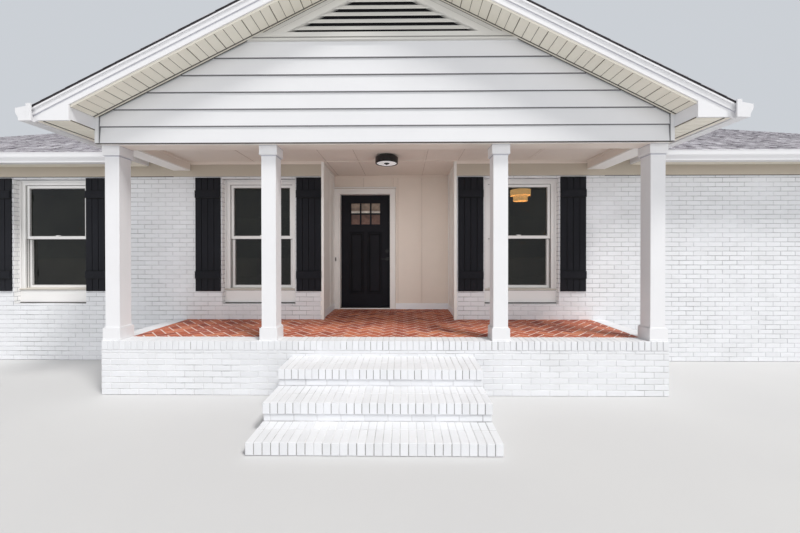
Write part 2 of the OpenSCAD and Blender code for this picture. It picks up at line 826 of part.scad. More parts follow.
// A length of gutter with closed ends, running along +Y from 0, and outwards along +X,
// with its back cut down to the foot of the shingles that reach over it
module gutter(width, height, lip, run, shingle_foot) {
    difference() {
        along_y(0, run) gutter_section(width, height, lip);
        along_y(gutter_metal, run - gutter_metal) gutter_hollow(width, height);
        block([-cut, -cut, shingle_foot - 1], [roofing_reach + 6, run + cut, height + cut]);
    }
}
// A main gutter along the front eave from x0 to x1
module front_gutter(x0, x1) {
    shingle_foot = main_top(eave_edge_y - roofing_reach) - roofing_depth - gutter_foot;
    translate([x1, eave_edge_y, gutter_foot]) rotate([0, 0, 90]) mirror([1, 0, 0])
        gutter(gutter_width, gutter_height, gutter_height, x1 - x0, shingle_foot);
}
module main_gutters() {
    end_x = house_half + overhang;
    color("white") placed() {
        front_gutter(main_eave_end_x, end_x);
        front_gutter(-end_x, -main_eave_end_x);
        translate([0, house_depth, 0]) mirror([0, 1, 0]) front_gutter(-end_x, end_x);
    }
}
module porch_gutters() {
    front_y = fascia_y - porch_gutter_lead;
    run = eave_edge_y - gutter_width - 5 - front_y;
    shingle_foot = porch_top(porch_eave_x + roofing_reach) - roofing_depth - porch_gutter_foot;
    color("white") placed() both_sides() translate([porch_eave_x, front_y, porch_gutter_foot])
        gutter(porch_gutter_width, porch_gutter_height, porch_gutter_height - porch_lip_drop, run,
            shingle_foot);
}

// Porch gable

// The triangle under the porch rakes, in X and Z
module gable_triangle(foot) {
    head_drop = roof_depth + seam;
    polygon([
        [-porch_half, foot], [porch_half, foot], [porch_half, porch_top(porch_half) - head_drop],
        [0, porch_ridge_height - head_drop], [-porch_half, porch_top(porch_half) - head_drop]]);
}
vent_inner_peak = vent_foot + porch_slope * vent_half_width;
blade_start = 0.42;
vent_outer_foot = vent_foot - vent_board;
vent_outer_half = (porch_ridge_height - roof_depth - soffit_thickness - vent_outer_foot) / porch_slope;
// The outline of the vent with its boards, in X and Z
module vent_outline() {
    polygon([[-vent_outer_half, vent_outer_foot], [vent_outer_half, vent_outer_foot],
        [0, vent_outer_foot + porch_slope * vent_outer_half]]);
}
// The outline of its louvred opening, in X and Z
module louvre_outline() {
    polygon([[-vent_half_width, vent_foot], [vent_half_width, vent_foot], [0, vent_inner_peak]]);
}
module porch_gable() {
    color("white") placed() difference() {
        intersection() {
            translate([-porch_half - cut, siding_y, 0]) rotate([90, 0, 90])
                linear_extrude(porch_width + 2 * cut)
                    lap_profile(beam_underside, porch_ridge_height, beam_top, gable_framing);
            along_y(siding_y - cut, 0) gable_triangle(beam_underside);
        }
        along_y(siding_y - cut, 0) vent_outline();
    }
}

// Boards round a triangle of sloping blades
module gable_vent() {
    back = siding_y + siding_butt + siding_tip + gable_framing;
    blades = floor((vent_inner_peak - vent_foot) / blade_pitch);
    color("white") placed() {
        difference() {
            along_y(siding_y - 6, back) vent_outline();
            along_y(siding_y - cut, back + cut) louvre_outline();
        }
        intersection() {
            along_y(siding_y, back) gripped_louvre();
            for (i = [0:blades])
                translate([0, siding_y + 2, vent_foot + (i + blade_start) * blade_pitch])
                    rotate([blade_angle, 0, 0]) translate([-vent_half_width, 0, -blade_thickness / 2])
                        cube([2 * vent_half_width, blade_width, blade_thickness]);
        }
    }
}
// The opening grown by a little, so that the blades run into their boards
module gripped_louvre() {
    grip = 8;
    polygon([[-vent_half_width - grip, vent_foot - grip / 4], [vent_half_width + grip, vent_foot - grip / 4],
        [0, vent_inner_peak + grip / 4]]);
}

// Porch frame

module porch_beam_front() {
    color("whitesmoke") placed()
        block([-porch_half, beam_front_y, beam_underside], [porch_half, beam_back_y, beam_top]);
}
module porch_side_beams() {
    head_drop = roof_depth + seam;
    color("whitesmoke") placed() both_sides() {
        along_y(beam_back_y, -board_thickness) polygon([
            [beam_inner_x, beam_underside], [corner_x, beam_underside],
            [corner_x, porch_top(corner_x) - head_drop],
            [beam_inner_x, porch_top(beam_inner_x) - head_drop]]);
        along_y(siding_y - 5, beam_back_y) polygon([
            [porch_half, beam_underside], [corner_x, beam_underside],
            [corner_x, porch_top(corner_x) - head_drop - soffit_thickness],
            [porch_half, porch_top(porch_half) - head_drop - soffit_thickness]]);
    }
}
module porch_ceiling() {
    foot = porch_ceiling_height;
    head = foot + porch_ceiling_thickness;
    color("linen") placed() {
        block([-beam_inner_x, beam_back_y, foot], [beam_inner_x, 0, head]);
        block([recess_left, -cut, foot], [recess_right, recess_depth, head]);
    }
}

// A square column with a plinth and a capital
module column_at(x) {
    half = column_size / 2;
    wide = half + band_reach;
    color("white") placed() translate([x, column_y, 0]) {
        block([-half, -half, porch_floor_height], [half, half, beam_underside]);
        block([-wide, -wide, porch_floor_height], [wide, wide, porch_floor_height + plinth_height]);
        block([-wide, -wide, beam_underside - capital_height], [wide, wide, beam_underside]);
    }
}
module porch_columns() {
    for (x = [-outer_column_x, entry_shift - inner_column_spread, entry_shift + inner_column_spread,
        outer_column_x]) column_at(x);
}

// Windows

// A sash: four bars round its glass
module sash(y, foot, head) {
    half = sash_width / 2;
    difference() {
        block([-half, y, foot], [half, y + sash_thickness, head]);
        block([-half + sash_bar, y - cut, foot + sash_bar],
            [half - sash_bar, y + sash_thickness + cut, head - sash_bar]);
    }
}
// A window in the front wall: its frame with the apron board under it, and two sashes
module window_unit(x) {
    half = window_width / 2;
    translate([x, 0, 0]) {
        difference() {
            block([-half, window_setback, window_foot], [half, wall_thickness, window_head]);
            block([-half + window_casing, 0, sash_foot],
                [half - window_casing, wall_thickness + cut, sash_head]);
        }
        sash(upper_sash_y, meeting_z, sash_head);
        sash(lower_sash_y - 3, sash_foot, meeting_z + sash_bar);
    }
}
// The two panes of that window
module window_panes(x) {
    half = sash_width / 2 - sash_bar;
    middle = (sash_thickness - glass_thickness) / 2;
    translate([x, 0, 0]) {
        block([-half, upper_sash_y + middle, meeting_z + sash_bar],
            [half, upper_sash_y + middle + glass_thickness, sash_head - sash_bar]);
        block([-half, lower_sash_y - 3 + middle, sash_foot + sash_bar],
            [half, lower_sash_y - 3 + middle + glass_thickness, meeting_z]);
    }
}
module porch_windows() {
    color("white") placed() {
        window_unit(-left_porch_window_x);
        window_unit(right_porch_window_x);
    }
}
module wing_windows() {
    color("white") placed() {
        window_unit(-left_window_x);
        window_unit(right_window_x);
    }
}
// The windows of the back wall and of the two end walls
module back_windows() {
    color("white") placed() {
        translate([0, house_depth, 0]) mirror([0, 1, 0]) for (x = window_places) window_unit(x);
        both_sides() on_left_end() window_unit(0);
    }
}
module window_glass() {
    color("lightblue", 0.4) placed() {
        front_and_back() for (x = window_places) window_panes(x);
        both_sides() on_left_end() window_panes(0);
    }
}

// Shutters

// A board shutter with two rails, with its left edge at x
module shutter(x) {
    board = shutter_width / shutter_boards;
    translate([x, 0, shutter_foot]) {
        difference() {
            block([0, -shutter_board_thickness, 0], [shutter_width, 0, shutter_height]);
            for (i = [1:shutter_boards - 1])
                block([i * board - shutter_groove / 2, -shutter_board_thickness - cut, -cut],
                    [i * board + shutter_groove / 2, -shutter_board_thickness + shutter_groove,
                    shutter_height + cut]);
        }
        for (z = [shutter_rail_offset, shutter_height - shutter_rail_offset - shutter_rail_height])
            block([0, -shutter_board_thickness - shutter_rail_thickness, z],
                [shutter_width, -shutter_board_thickness, z + shutter_rail_height]);
    }
}
// The pair of shutters beside a window whose middle is at x
module shutter_pair(x) {
    inner = window_width / 2 + shutter_gap;
    shutter(x - inner - shutter_width);
    shutter(x + inner);
}
module window_shutters() { color("#23252b") placed() for (x = window_places) shutter_pair(x); }

// Front door

// Jambs, head, stops and threshold, with a flat casing on the outside
module door_frame() {
    left = hinge_face_x;
    right = latch_face_x;
    stop_y = door_front_y - 5;
    casing_y = recess_depth - board_thickness;
    color("white") placed() difference() {
        union() {
            block([left - jamb_thickness, recess_depth, porch_floor_height],
                [right + jamb_thickness, entry_back_y, frame_head + jamb_thickness]);
            block([max(left - casing_width, recess_left), casing_y, porch_floor_height],
                [right + casing_width, recess_depth, frame_head + casing_width]);
        }
        block([left, stop_y, floor_height], [right, entry_back_y + cut, frame_head]);
        block([left + stop_width, casing_y - cut, floor_height],
            [right - stop_width, stop_y + cut, frame_head - stop_width]);
        block([left + stop_width, casing_y - cut, 0],
            [right - stop_width, recess_depth + stop_width, floor_height + cut]);
    }
}

// The leaf, with the opening for its glass and two tall sunk panels on each face
module front_door() {
    panel_foot = door_foot + 252;
    panel_head = lite_z - 151;
    panel_width = (lite_width - 90) / 2 + 20;
    sink = 9;
    color("#1b1c1e") placed() difference() {
        block([leaf_x, door_front_y, door_foot], [leaf_x + door_width, door_back_y, door_head]);
        lite_grid(door_front_y - cut, door_back_y + cut);
        block([lite_x - 8, door_front_y + 18, lite_z - 8],
            [lite_x + lite_width + 8, door_back_y - 18, lite_z + lite_height + 8]);
        for (x = [lite_x - 20, lite_x + lite_width + 20 - panel_width],
            y = [door_front_y - cut, door_back_y - sink])
                block([x, y, panel_foot], [x + panel_width, y + sink + cut, panel_head]);
        translate([lever_x, door_front_y - cut, lever_z]) rotate([-90, 0, 0])
            cylinder(r = spindle_radius + 9, h = door_thickness + 2 * cut);
    }
}
// The six panes of the door, three over three, as holes between two places in Y
module lite_grid(y0, y1) {
    pane_width = (lite_width - 2 * lite_bar) / 3;
    pane_height = (lite_height - lite_bar) / 2;
    for (i = [0:2], j = [0:1]) {
        x = lite_x + i * (pane_width + lite_bar);
        z = lite_z + j * (pane_height + lite_bar);
        block([x, y0, z], [x + pane_width, y1, z + pane_height]);
    }
}
// One sheet of glass, held in a groove behind the bars
module door_glass() {
    color("lightblue", 0.4) placed() block([lite_x - 6, door_front_y + 19, lite_z - 6],
        [lite_x + lite_width + 6, door_back_y - 19, lite_z + lite_height + 6]);
}
// Round plates for the lever on both faces, and the lock's cylinder above them
module door_lock() {
    color("#161616") placed() for (side = [0, 1]) {
        y = side == 0 ? door_front_y : door_back_y;
        turn = side == 0 ? 90 : -90;
        translate([lever_x, y, lever_z]) rotate([turn, 0, 0]) difference() {
            cylinder(r = rose_radius, h = rose_thickness);
            translate([0, 0, -1]) cylinder(r = spindle_radius + 0.5, h = rose_thickness + 2);
        }
        translate([lever_x, y, lock_z]) rotate([turn, 0, 0]) {
            cylinder(r = rose_radius, h = rose_thickness);
            cylinder(r = rose_radius / 2, h = rose_thickness + 12);
        }
    }
}
// The spindle with a lever on each face, pointing to the hinges
module door_lever() {
    reach = rose_thickness + 35;
    color("#161616") placed() translate([lever_x, 0, lever_z]) {
        translate([0, door_front_y - reach, 0]) rotate([-90, 0, 0])
            cylinder(r = spindle_radius, h = door_thickness + 2 * reach);
        for (y = [door_front_y - reach - 6, door_back_y + reach - 8])
            translate([0, y, 0]) {
                translate([-lever_length, 0, -8]) cube([lever_length, 14, 16]);
                rotate([-90, 0, 0]) cylinder(r = 12, h = 14);
            }
    }
}

// Hinges of the front door, on the room side, with their pins on the joint's line
hinge_x = hinge_face_x + hinge_gap / 2;
hinge_y = door_back_y + 7;
hinge_places = [door_foot + 250, (door_foot + door_head) / 2, door_head - 180];
// A knuckle of a hinge between two heights over the hinge's foot
module knuckle(low, high) { translate([0, 0, low]) cylinder(r = knuckle_radius, h = high - low); }
module at_hinges() {
    placed() for (z = hinge_places) translate([hinge_x, hinge_y, z - hinge_height / 2]) children();
}
// The plates on the jamb, with the outer knuckles and the pin
module hinge_jamb_leaves() {
    third = hinge_height / 3;
    color("silver") at_hinges() difference() {
        union() {
            knuckle(0, third);
            knuckle(2 * third, hinge_height);
            cylinder(r = pin_radius, h = hinge_height);
            block([-hinge_gap / 2, -hinge_leaf_width, 0], [hinge_leaf - hinge_gap / 2, 0, hinge_height]);
        }
        difference() {
            translate([0, 0, third - 0.5]) cylinder(r = knuckle_radius + 1, h = third + 1);
            cylinder(r = pin_radius, h = hinge_height);
        }
    }
}
// The plates on the leaf's edge, with the middle knuckle round the pin
module hinge_door_leaves() {
    third = hinge_height / 3;
    reach = knuckle_radius + 1;
    color("silver") at_hinges() difference() {
        union() {
            knuckle(third, 2 * third);
            block([hinge_gap / 2 - hinge_leaf, -hinge_leaf_width, 0], [hinge_gap / 2, 0, hinge_height]);
        }
        translate([0, 0, -1]) cylinder(r = pin_radius + 0.05, h = hinge_height + 2);
        for (z = [-1, 2 * third - 0.5]) translate([0, 0, z]) cylinder(r = reach, h = third + 1.5);
    }
}

// Lamps

// A drum on the porch ceiling: a canopy, a pale diffuser inside a dark ring, and a small knob
module porch_lamp() {
    color("#222222") placed() translate([0, -lamp_setback, porch_ceiling_height]) rotate([180, 0, 0]) {
        cylinder(r = lamp_radius * 0.8, h = 20);
        translate([0, 0, 15]) cylinder(r = lamp_radius, h = lamp_height - 15);
        translate([0, 0, lamp_height - 5]) cylinder(r = 12, h = 25);
    }
}
// Two drums on a rod, under the ceiling behind the right porch window
module pendant_lamp() {
    foot = ceiling_height - pendant_rod;
    color("orange") placed() translate([right_porch_window_x + pendant_offset, pendant_setback, 0]) {
        translate([0, 0, foot]) cylinder(r = 8, h = pendant_rod);
        translate([0, 0, ceiling_height - 20]) cylinder(r = 60, h = 20);
        translate([0, 0, foot - 10]) cylinder(r = pendant_radius, h = 100);
        translate([0, 0, foot - 105]) cylinder(r = pendant_radius * 0.7, h = 100);
    }
}

step_bottom();
step_middle();
step_top();
porch_foundation();
porch_floor();
front_wall_left();
front_wall_right();
back_wall();
end_walls();
entry_side_walls();
entry_wall_beside_door();
entry_wall_over_door();
end_gables();
house_floor();
house_ceiling();
frieze_boards();
roof_front_slope();
roof_back_slope();
porch_roof_left();
porch_roof_right();
ridge_caps();
eave_fascias();
main_soffits();
end_rake_boards();
porch_fascia();
porch_soffits();
main_gutters();
porch_gutters();
porch_gable();
gable_vent();
porch_beam_front();
porch_side_beams();
porch_ceiling();
porch_columns();
porch_windows();
wing_windows();
back_windows();
window_glass();
window_shutters();
door_frame();
front_door();
door_glass();
door_lock();
door_lever();
hinge_jamb_leaves();
hinge_door_leaves();
porch_lamp();
pendant_lamp();
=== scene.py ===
"""The bungalow dressed for rendering: painted brick, shingles, siding, soffits, trim and glass."""

import math
import random

import bmesh
import bpy
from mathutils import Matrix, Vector


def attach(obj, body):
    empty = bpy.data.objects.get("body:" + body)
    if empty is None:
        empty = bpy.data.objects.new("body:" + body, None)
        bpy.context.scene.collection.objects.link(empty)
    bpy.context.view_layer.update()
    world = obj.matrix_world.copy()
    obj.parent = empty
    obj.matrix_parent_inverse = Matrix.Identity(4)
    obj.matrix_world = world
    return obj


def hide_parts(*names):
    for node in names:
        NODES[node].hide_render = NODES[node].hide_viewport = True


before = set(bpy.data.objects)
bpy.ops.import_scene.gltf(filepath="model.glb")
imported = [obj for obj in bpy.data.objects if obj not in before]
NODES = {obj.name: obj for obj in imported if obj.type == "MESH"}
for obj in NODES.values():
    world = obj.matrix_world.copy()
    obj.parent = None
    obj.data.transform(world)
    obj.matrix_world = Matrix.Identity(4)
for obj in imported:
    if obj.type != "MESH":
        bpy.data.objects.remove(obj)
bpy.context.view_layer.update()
random.seed(7)

# Sizes of the solids in millimetres, with Y measured from the front wall's outer face
FRONT_Y = -3535
HOUSE_HALF = 8600
HOUSE_DEPTH = 9000
WALL = 240
BRICK_TOP = 2746
SOFFIT = 2901
SOFFIT_END = 8883
FLOOR = 626
INNER_HEAD = 2955

# Porch
PORCH_FLOOR = 611
PORCH_CEILING = 2960
PORCH_SOFFIT = 2969
PORCH_HALF = 3165
CORNER_X = 3190
PORCH_EDGE_Y = -1240
SIDING_Y = -1310
FASCIA_Y = -1615
BEAM_INNER = 2940
BEAM_FOOT = 2830
BEAM_BACK = -1043
COLUMNS = (-3094, -1299, 1333, 3094)
COLUMN_Y = -1125.5
COLUMN_HALF = 82.5
LAMP = (0, -300)
PENDANT = (2305, 1000)

# Front, back, foot and head of each step
STEPS = {
    "bottom": (-2380, -2045, 0, 102),
    "middle": (-2045, -1670, 102, 271.7),
    "top": (-1670, PORCH_EDGE_Y, 271.7, 441.3),
}
STEP_HALF = 1019

# Roofs
PORCH_EAVE_X = 3555
PORCH_RIDGE = 4886
PORCH_SLOPE = 0.5
EAVE_HEIGHT = 3021
OVERHANG = 305
EAVE_Y = -325
MAIN_SLOPE = 5 / 12
RIDGE_Y = 4500
ROOFING = 38
ROOF_DEPTH = 166
MAIN_END = 8925
MAIN_EAVE_X = 3580
CAP_THICK = 15

# Entry and windows
RECESS = (-986, 1020)
RECESS_DEPTH = 930
ENTRY_FACE = 908
BASE_HEAD = 715
CROWN_FOOT = 2918
WINDOWS = (-5083, -1927, 1982, 7250)
WINDOW_HALF = 550
WINDOW_FOOT = 843
WINDOW_HEAD = 2712
SETBACK = 90
SASH_HALF = 475
SASH_FOOT = 1065
SASH_HEAD = 2642
MEETING = 1817.5
GLASS_HALF = 423
SASH_BAR = 52
SHUTTER_FOOT = 1034
SHUTTER_BOARD = 93

# Siding and vent
SIDING_STEP = 188
VENT_FOOT = 4038
VENT_HALF = 1040
VENT_PEAK = 4708
VENT_REACH = 1516
VENT_BOARD_FOOT = 3950
BLADE_STEP = 76
POST_INNER = 3150
POST_OUTER = 3193

# Bricks
COURSE = 67.7
BRICK = 203
JOINT = 8
ROWLOCK = 102
PROUD = 4.5
SLIM = 16
UPRIGHT_JOINT = 5


def main_top(y):
    """Height of the main roof's surface."""
    near = min(y, HOUSE_DEPTH - y)
    return EAVE_HEIGHT + MAIN_SLOPE * (near + OVERHANG)


def porch_top(x):
    """Height of the porch roof's surface."""
    return PORCH_RIDGE - PORCH_SLOPE * abs(x)


# Mesh building

# Corners of a box, the order round one of its faces, and the faces of a plate without its back
CORNERS = [(x, y, z) for x in (0, 1) for y in (0, 1) for z in (0, 1)]
AROUND = ((0, 0), (1, 0), (1, 1), (0, 1))
PLATE = [(4, 5, 6, 7), (0, 1, 5, 4), (1, 2, 6, 5), (2, 3, 7, 6), (3, 0, 4, 7)]


def corner_at(axis, side, a, c):
    """The corner at one side of an axis, with a and c along the two others."""
    corner = [a, c]
    corner.insert(axis, side)
    return tuple(corner)


class Shape:
    """Points and faces of one piece, in millimetres in the front wall's frame."""

    def __init__(self):
        self.points = []
        self.faces = []
        self.marks = []
        self.turn = None

    def add(self, points, faces, mark=0):
        first = len(self.points)
        self.points.extend([self.turn(*p) for p in points] if self.turn else points)
        for face in faces:
            self.faces.append([first + i for i in face])
            self.marks.append(mark)

    def block(self, low, high, bevel=0, mark=0):
        """A box, with its edges cut by a bevel."""
        ends = [(min(low[i], high[i]), max(low[i], high[i])) for i in range(3)]
        if bevel <= 0:
            points = [tuple(ends[i][corner[i]] for i in range(3)) for corner in CORNERS]
            faces = [(0, 1, 3, 2), (4, 6, 7, 5), (0, 4, 5, 1), (2, 3, 7, 6), (0, 2, 6, 4), (1, 5, 7, 3)]
            self.add(points, faces, mark)
            return
        cut = min(bevel, min(end - start for start, end in ends) / 2.01)
        points = []
        index = {}
        for corner in CORNERS:
            for axis in range(3):
                spot = [ends[i][corner[i]] + (-cut if corner[i] else cut) for i in range(3)]
                spot[axis] = ends[axis][corner[axis]]
                index[corner, axis] = len(points)
                points.append(tuple(spot))
        faces = []
        for axis in range(3):
            for side in (0, 1):
                ring = [index[corner_at(axis, side, a, c), axis] for a, c in AROUND]
                if (side == 1) == (axis == 1):
                    ring.reverse()
                faces.append(ring)
        for axis in range(3):
            u, v = [i for i in range(3) if i != axis]
            for a, c in ((0, 0), (0, 1), (1, 0), (1, 1)):
                near, far = corner_at(axis, 0, a, c), corner_at(axis, 1, a, c)
                faces.append([index[near, u], index[far, u], index[far, v], index[near, v]])
        for corner in CORNERS:
            faces.append([index[corner, axis] for axis in range(3)])
        self.add(points, faces, mark)

    def bar(self, half, y0, y1, z0, z1, bevel=0, mark=0):
        """A box across the middle, with half its length to each side."""
        self.block((-half, y0, z0), (half, y1, z1), bevel, mark)

    def plate(self, spot, u0, u1, v0, v1, height, bevel=2, mark=0):
        """A low plate on a plane: spot(u, v, w) gives a place over the plane."""
        b = min(bevel, (u1 - u0) / 2.2, (v1 - v0) / 2.2)
        points = [spot(u0, v0, 0), spot(u1, v0, 0), spot(u1, v1, 0), spot(u0, v1, 0),
                  spot(u0 + b, v0 + b, height), spot(u1 - b, v0 + b, height),
                  spot(u1 - b, v1 - b, height), spot(u0 + b, v1 - b, height)]
        self.add(points, PLATE, mark)

    def tab(self, spot, low, high, v0, v1, thick, thin, mark=0):
        """A shingle, thick at its lower edge: low and high are its ends there and at its upper edge."""
        points = [spot(low[0], v0, 0), spot(high[0], v0, 0), spot(high[1], v1, 0), spot(low[1], v1, 0),
                  spot(low[0], v0, thick), spot(high[0], v0, thick),
                  spot(high[1], v1, thin), spot(low[1], v1, thin)]
        self.add(points, PLATE, mark)

    def ring(self, rect, wide, y0, y1, bevel=2, mark=0, foot=True):
        """Four bars, or three without the foot, inside a rectangle (x0, z0, x1, z1)."""
        x0, z0, x1, z1 = rect
        self.block((x0, y0, z0), (x0 + wide, y1, z1), bevel, mark)
        self.block((x1 - wide, y0, z0), (x1, y1, z1), bevel, mark)
        self.block((x0 + wide, y0, z1 - wide), (x1 - wide, y1, z1), bevel, mark)
        if foot:
            self.block((x0 + wide, y0, z0), (x1 - wide, y1, z0 + wide), bevel, mark)

    def prism(self, outline, lift, low, high, mark=0):
        """An outline between two places on an axis: lift(u, v, w) gives a place in space."""
        count = len(outline)
        points = [lift(u, v, low) for u, v in outline] + [lift(u, v, high) for u, v in outline]
        faces = [list(range(count))[::-1], list(range(count, 2 * count))]
        for i in range(count):
            j = (i + 1) % count
            faces.append([i, j, count + j, count + i])
        self.add(points, faces, mark)

    def lathe(self, profile, centre, turns, flute=0):
        """A turned form about a vertical axis, from its radius and height pairs, with flutes or without."""
        points = []
        for radius, height in profile:
            for i in range(turns):
                reach = radius + flute * (i % 2)
                angle = 2 * math.pi * i / turns
                x, y = centre[0] + reach * math.cos(angle), centre[1] + reach * math.sin(angle)
                points.append((x, y, height))
        last = (len(profile) - 1) * turns
        faces = [[ring + i, ring + (i + 1) % turns, ring + turns + (i + 1) % turns, ring + turns + i]
                 for ring in range(0, last, turns) for i in range(turns)]
        faces.append(list(range(turns))[::-1])
        faces.append(list(range(last, last + turns)))
        self.add(points, faces)


def add_object(name, data):
    """Makes an object from its data and puts it in the scene."""
    thing = bpy.data.objects.new(name, data)
    bpy.context.scene.collection.objects.link(thing)
    return thing


def piece(name, shape, materials, body="house", over=()):
    """Makes one object of the scene from a shape."""
    mesh = bpy.data.meshes.new(name)
    scaled = [(x / 1000, (y + FRONT_Y) / 1000, z / 1000) for x, y, z in shape.points]
    mesh.from_pydata(scaled, [], shape.faces)
    mesh.validate()
    for material in materials:
        mesh.materials.append(material)
    if len(materials) > 1:
        mesh.polygons.foreach_set("material_index", shape.marks)
    fix_normals(mesh)
    thing = add_object(name, mesh)
    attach(thing, body)
    if over:
        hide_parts(*over)
    return thing


def fix_normals(mesh):
    """Turns the faces of each closed form outwards."""
    form = bmesh.new()
    form.from_mesh(mesh)
    bmesh.ops.recalc_face_normals(form, faces=form.faces)
    form.to_mesh(mesh)
    form.free()


# Materials

EVEN = (1.0, 1.0, 1.0)


def grey(value):
    return (value, value, value)


def shader(material):
    """The inputs of a material's shader."""
    return material.node_tree.nodes["Principled BSDF"].inputs


def new_material(name, colour, rough, metallic=0.0, specular=0.5):
    material = bpy.data.materials.new(name)
    material.use_nodes = True
    inputs = shader(material)
    inputs["Base Color"].default_value = (*colour, 1.0)
    inputs["Roughness"].default_value = rough
    inputs["Metallic"].default_value = metallic
    inputs["Specular IOR Level"].default_value = specular
    return material


def add_node(material, kind, **values):
    """A shader node of a kind, with values for some of its inputs."""
    node = material.node_tree.nodes.new("ShaderNode" + kind)
    for name, value in values.items():
        node.inputs[name].default_value = value
    return node


def link(material, out, into):
    material.node_tree.links.new(out, into)


def place_node(material, scale=EVEN):
    """Object coordinates, stretched by a scale."""
    stretch = add_node(material, "Mapping", Scale=scale)
    link(material, add_node(material, "TexCoord").outputs["Object"], stretch.inputs["Vector"])
    return stretch.outputs["Vector"]


def noise(material, scale, detail=3.0, rough=0.6, stretch=EVEN):
    cloud = add_node(material, "TexNoise", Scale=scale, Detail=detail, Roughness=rough)
    link(material, place_node(material, stretch), cloud.inputs["Vector"])
    return cloud.outputs["Fac"]


def ramp(material, value, stops):
    """Colours along a value: stops are (place, (r, g, b))."""
    node = add_node(material, "ValToRGB")
    elements = node.color_ramp.elements
    while len(elements) < len(stops):
        elements.new(0.5)
    for element, (where, colour) in zip(elements, stops):
        element.position = where
        element.color = (*colour, 1.0)
    link(material, value, node.inputs["Fac"])
    return node.outputs["Color"]


def island(material):
    """A value for each separate brick or shingle."""
    return add_node(material, "NewGeometry").outputs["Random Per Island"]


def shade(material, own, clouds, *stops):
    """Colours a material with its own colours times clouds that run through some stops."""
    node = add_node(material, "Mix")
    node.data_type = "RGBA"
    node.blend_type = "MULTIPLY"
    node.inputs[0].default_value = 1.0
    link(material, own, node.inputs[6])
    link(material, ramp(material, clouds, stops), node.inputs[7])
    base(material, node.outputs[2])


def bump(material, height, strength, distance):
    node = add_node(material, "Bump", Strength=strength, Distance=distance)
    link(material, height, node.inputs["Height"])
    link(material, node.outputs["Normal"], shader(material)["Normal"])


def base(material, colour):
    link(material, colour, shader(material)["Base Color"])


def tint(colour, factor):
    return tuple(min(1.0, c * factor) for c in colour)


def painted(name, colour, rough, vary=0.05, grain=(6.0, 6.0, 6.0), scale=12.0, strength=0.15, depth=0.001):
    """Paint or coating with slight clouds in its colour and a fine grain in its surface."""
    material = new_material(name, colour, rough)
    base(material, ramp(material, noise(material, 1.7, 4.0), [
        (0.3, tint(colour, 1 - vary)), (0.7, tint(colour, 1 + vary / 2))]))
    bump(material, noise(material, scale, 5.0, 0.65, grain), strength, depth)
    return material


def satin(name, colour, rough=0.45, vary=0.03):
    """Smooth trim paint."""
    return painted(name, colour, rough, vary, EVEN, 30.0, 0.06, 0.0006)


def brick_paint(name, colour, vary, grime, rough=0.72):
    """Painted masonry with pits and faint dirt: a shade for each brick, or stains where vary is 0."""
    material = new_material(name, colour, rough, specular=0.3)
    if vary:
        own = ramp(material, island(material), [
            (0.0, tint(colour, 1 - vary)), (0.5, colour), (1.0, tint(colour, 1 + vary / 2))])
    else:
        own = ramp(material, noise(material, 1.6, 5.0, 0.7), [
            (0.42, colour), (0.58, tint(colour, 0.72)), (0.70, tint(colour, 0.42))])
    shade(material, own, noise(material, 2.3, 6.0, 0.7), (0.35, EVEN), (0.75, grime))
    bump(material, noise(material, 55.0, 6.0, 0.7), 0.5, 0.003)
    return material


WHITE_BRICK = brick_paint("white_brick", (0.79, 0.80, 0.83), 0.04, (0.94, 0.94, 0.93))
# Paler copy of the brick paint for the openings' brick ends: painted light
LIT_REVEAL = brick_paint("reveal_painted_light", grey(0.92), 0.03, (0.96, 0.96, 0.95))
JOINT_PAINT = brick_paint("painted_joint", (0.66, 0.665, 0.69), 0.0, grey(0.9), 0.85)
STEP_JOINT = brick_paint("step_joint", (0.80, 0.80, 0.81), 0.0, grey(0.9), 0.85)
CRACK = painted("open_joint", (0.34, 0.335, 0.33), 0.9, 0.2, EVEN, 90.0, 0.3, 0.001)
TRIM = satin("trim_paint", (0.80, 0.80, 0.82), 0.42, 0.02)
# Brighter, warmer copy of the trim paint for the porch's shaded parts: painted light
LIT_PORCH_PAINT = satin("porch_trim_in_painted_light", (0.90, 0.88, 0.85))
# Beige frieze paint, darkened as painted shade under the eaves
SHADED_FRIEZE_PAINT = satin("frieze_in_painted_shade", (0.54, 0.48, 0.40), 0.5)
SIDING = painted("lap_siding", (0.745, 0.75, 0.77), 0.5, 0.02, (1.0, 14.0, 14.0), 16.0, 0.12, 0.0008)
SOFFIT_VINYL = painted("soffit_vinyl", (0.83, 0.79, 0.69), 0.5, 0.03, EVEN, 60.0, 0.05, 0.0005)
# Backing of the soffits, near black as painted shade in the grooves between the panels
GROOVE_SHADE = painted("soffit_painted_groove_shade", (0.16, 0.14, 0.11), 0.7, 0.05)
CEILING = painted("porch_ceiling_board", (0.82, 0.74, 0.67), 0.55, 0.03, (1.0, 6.0, 1.0), 20.0, 0.08, 0.0008)
ENTRY_BOARD = painted("entry_board", (0.86, 0.765, 0.68), 0.5, 0.03, (8.0, 8.0, 1.0), 20.0, 0.08, 0.0008)
BASEBOARD = satin("baseboard_paint", (0.90, 0.92, 0.95), vary=0.02)
GUTTER = painted("gutter_metal", (0.78, 0.78, 0.80), 0.28, 0.02, EVEN, 8.0, 0.04, 0.0008)
FRAME = painted("window_frame", (0.84, 0.83, 0.82), 0.38, 0.02, EVEN, 40.0, 0.04, 0.0004)
SILL = painted("window_sill", (0.62, 0.58, 0.52), 0.55, 0.06, EVEN, 40.0, 0.08, 0.0005)
SHUTTER = painted("shutter_paint", (0.011, 0.0115, 0.0155), 0.6, 0.18, (14.0, 14.0, 1.0), 18.0, 0.35, 0.0012)
shader(SHUTTER)["Specular IOR Level"].default_value = 0.2
DOOR = painted("door_paint", (0.012, 0.0125, 0.0165), 0.6, 0.15, (12.0, 12.0, 1.0), 22.0, 0.25, 0.0008)
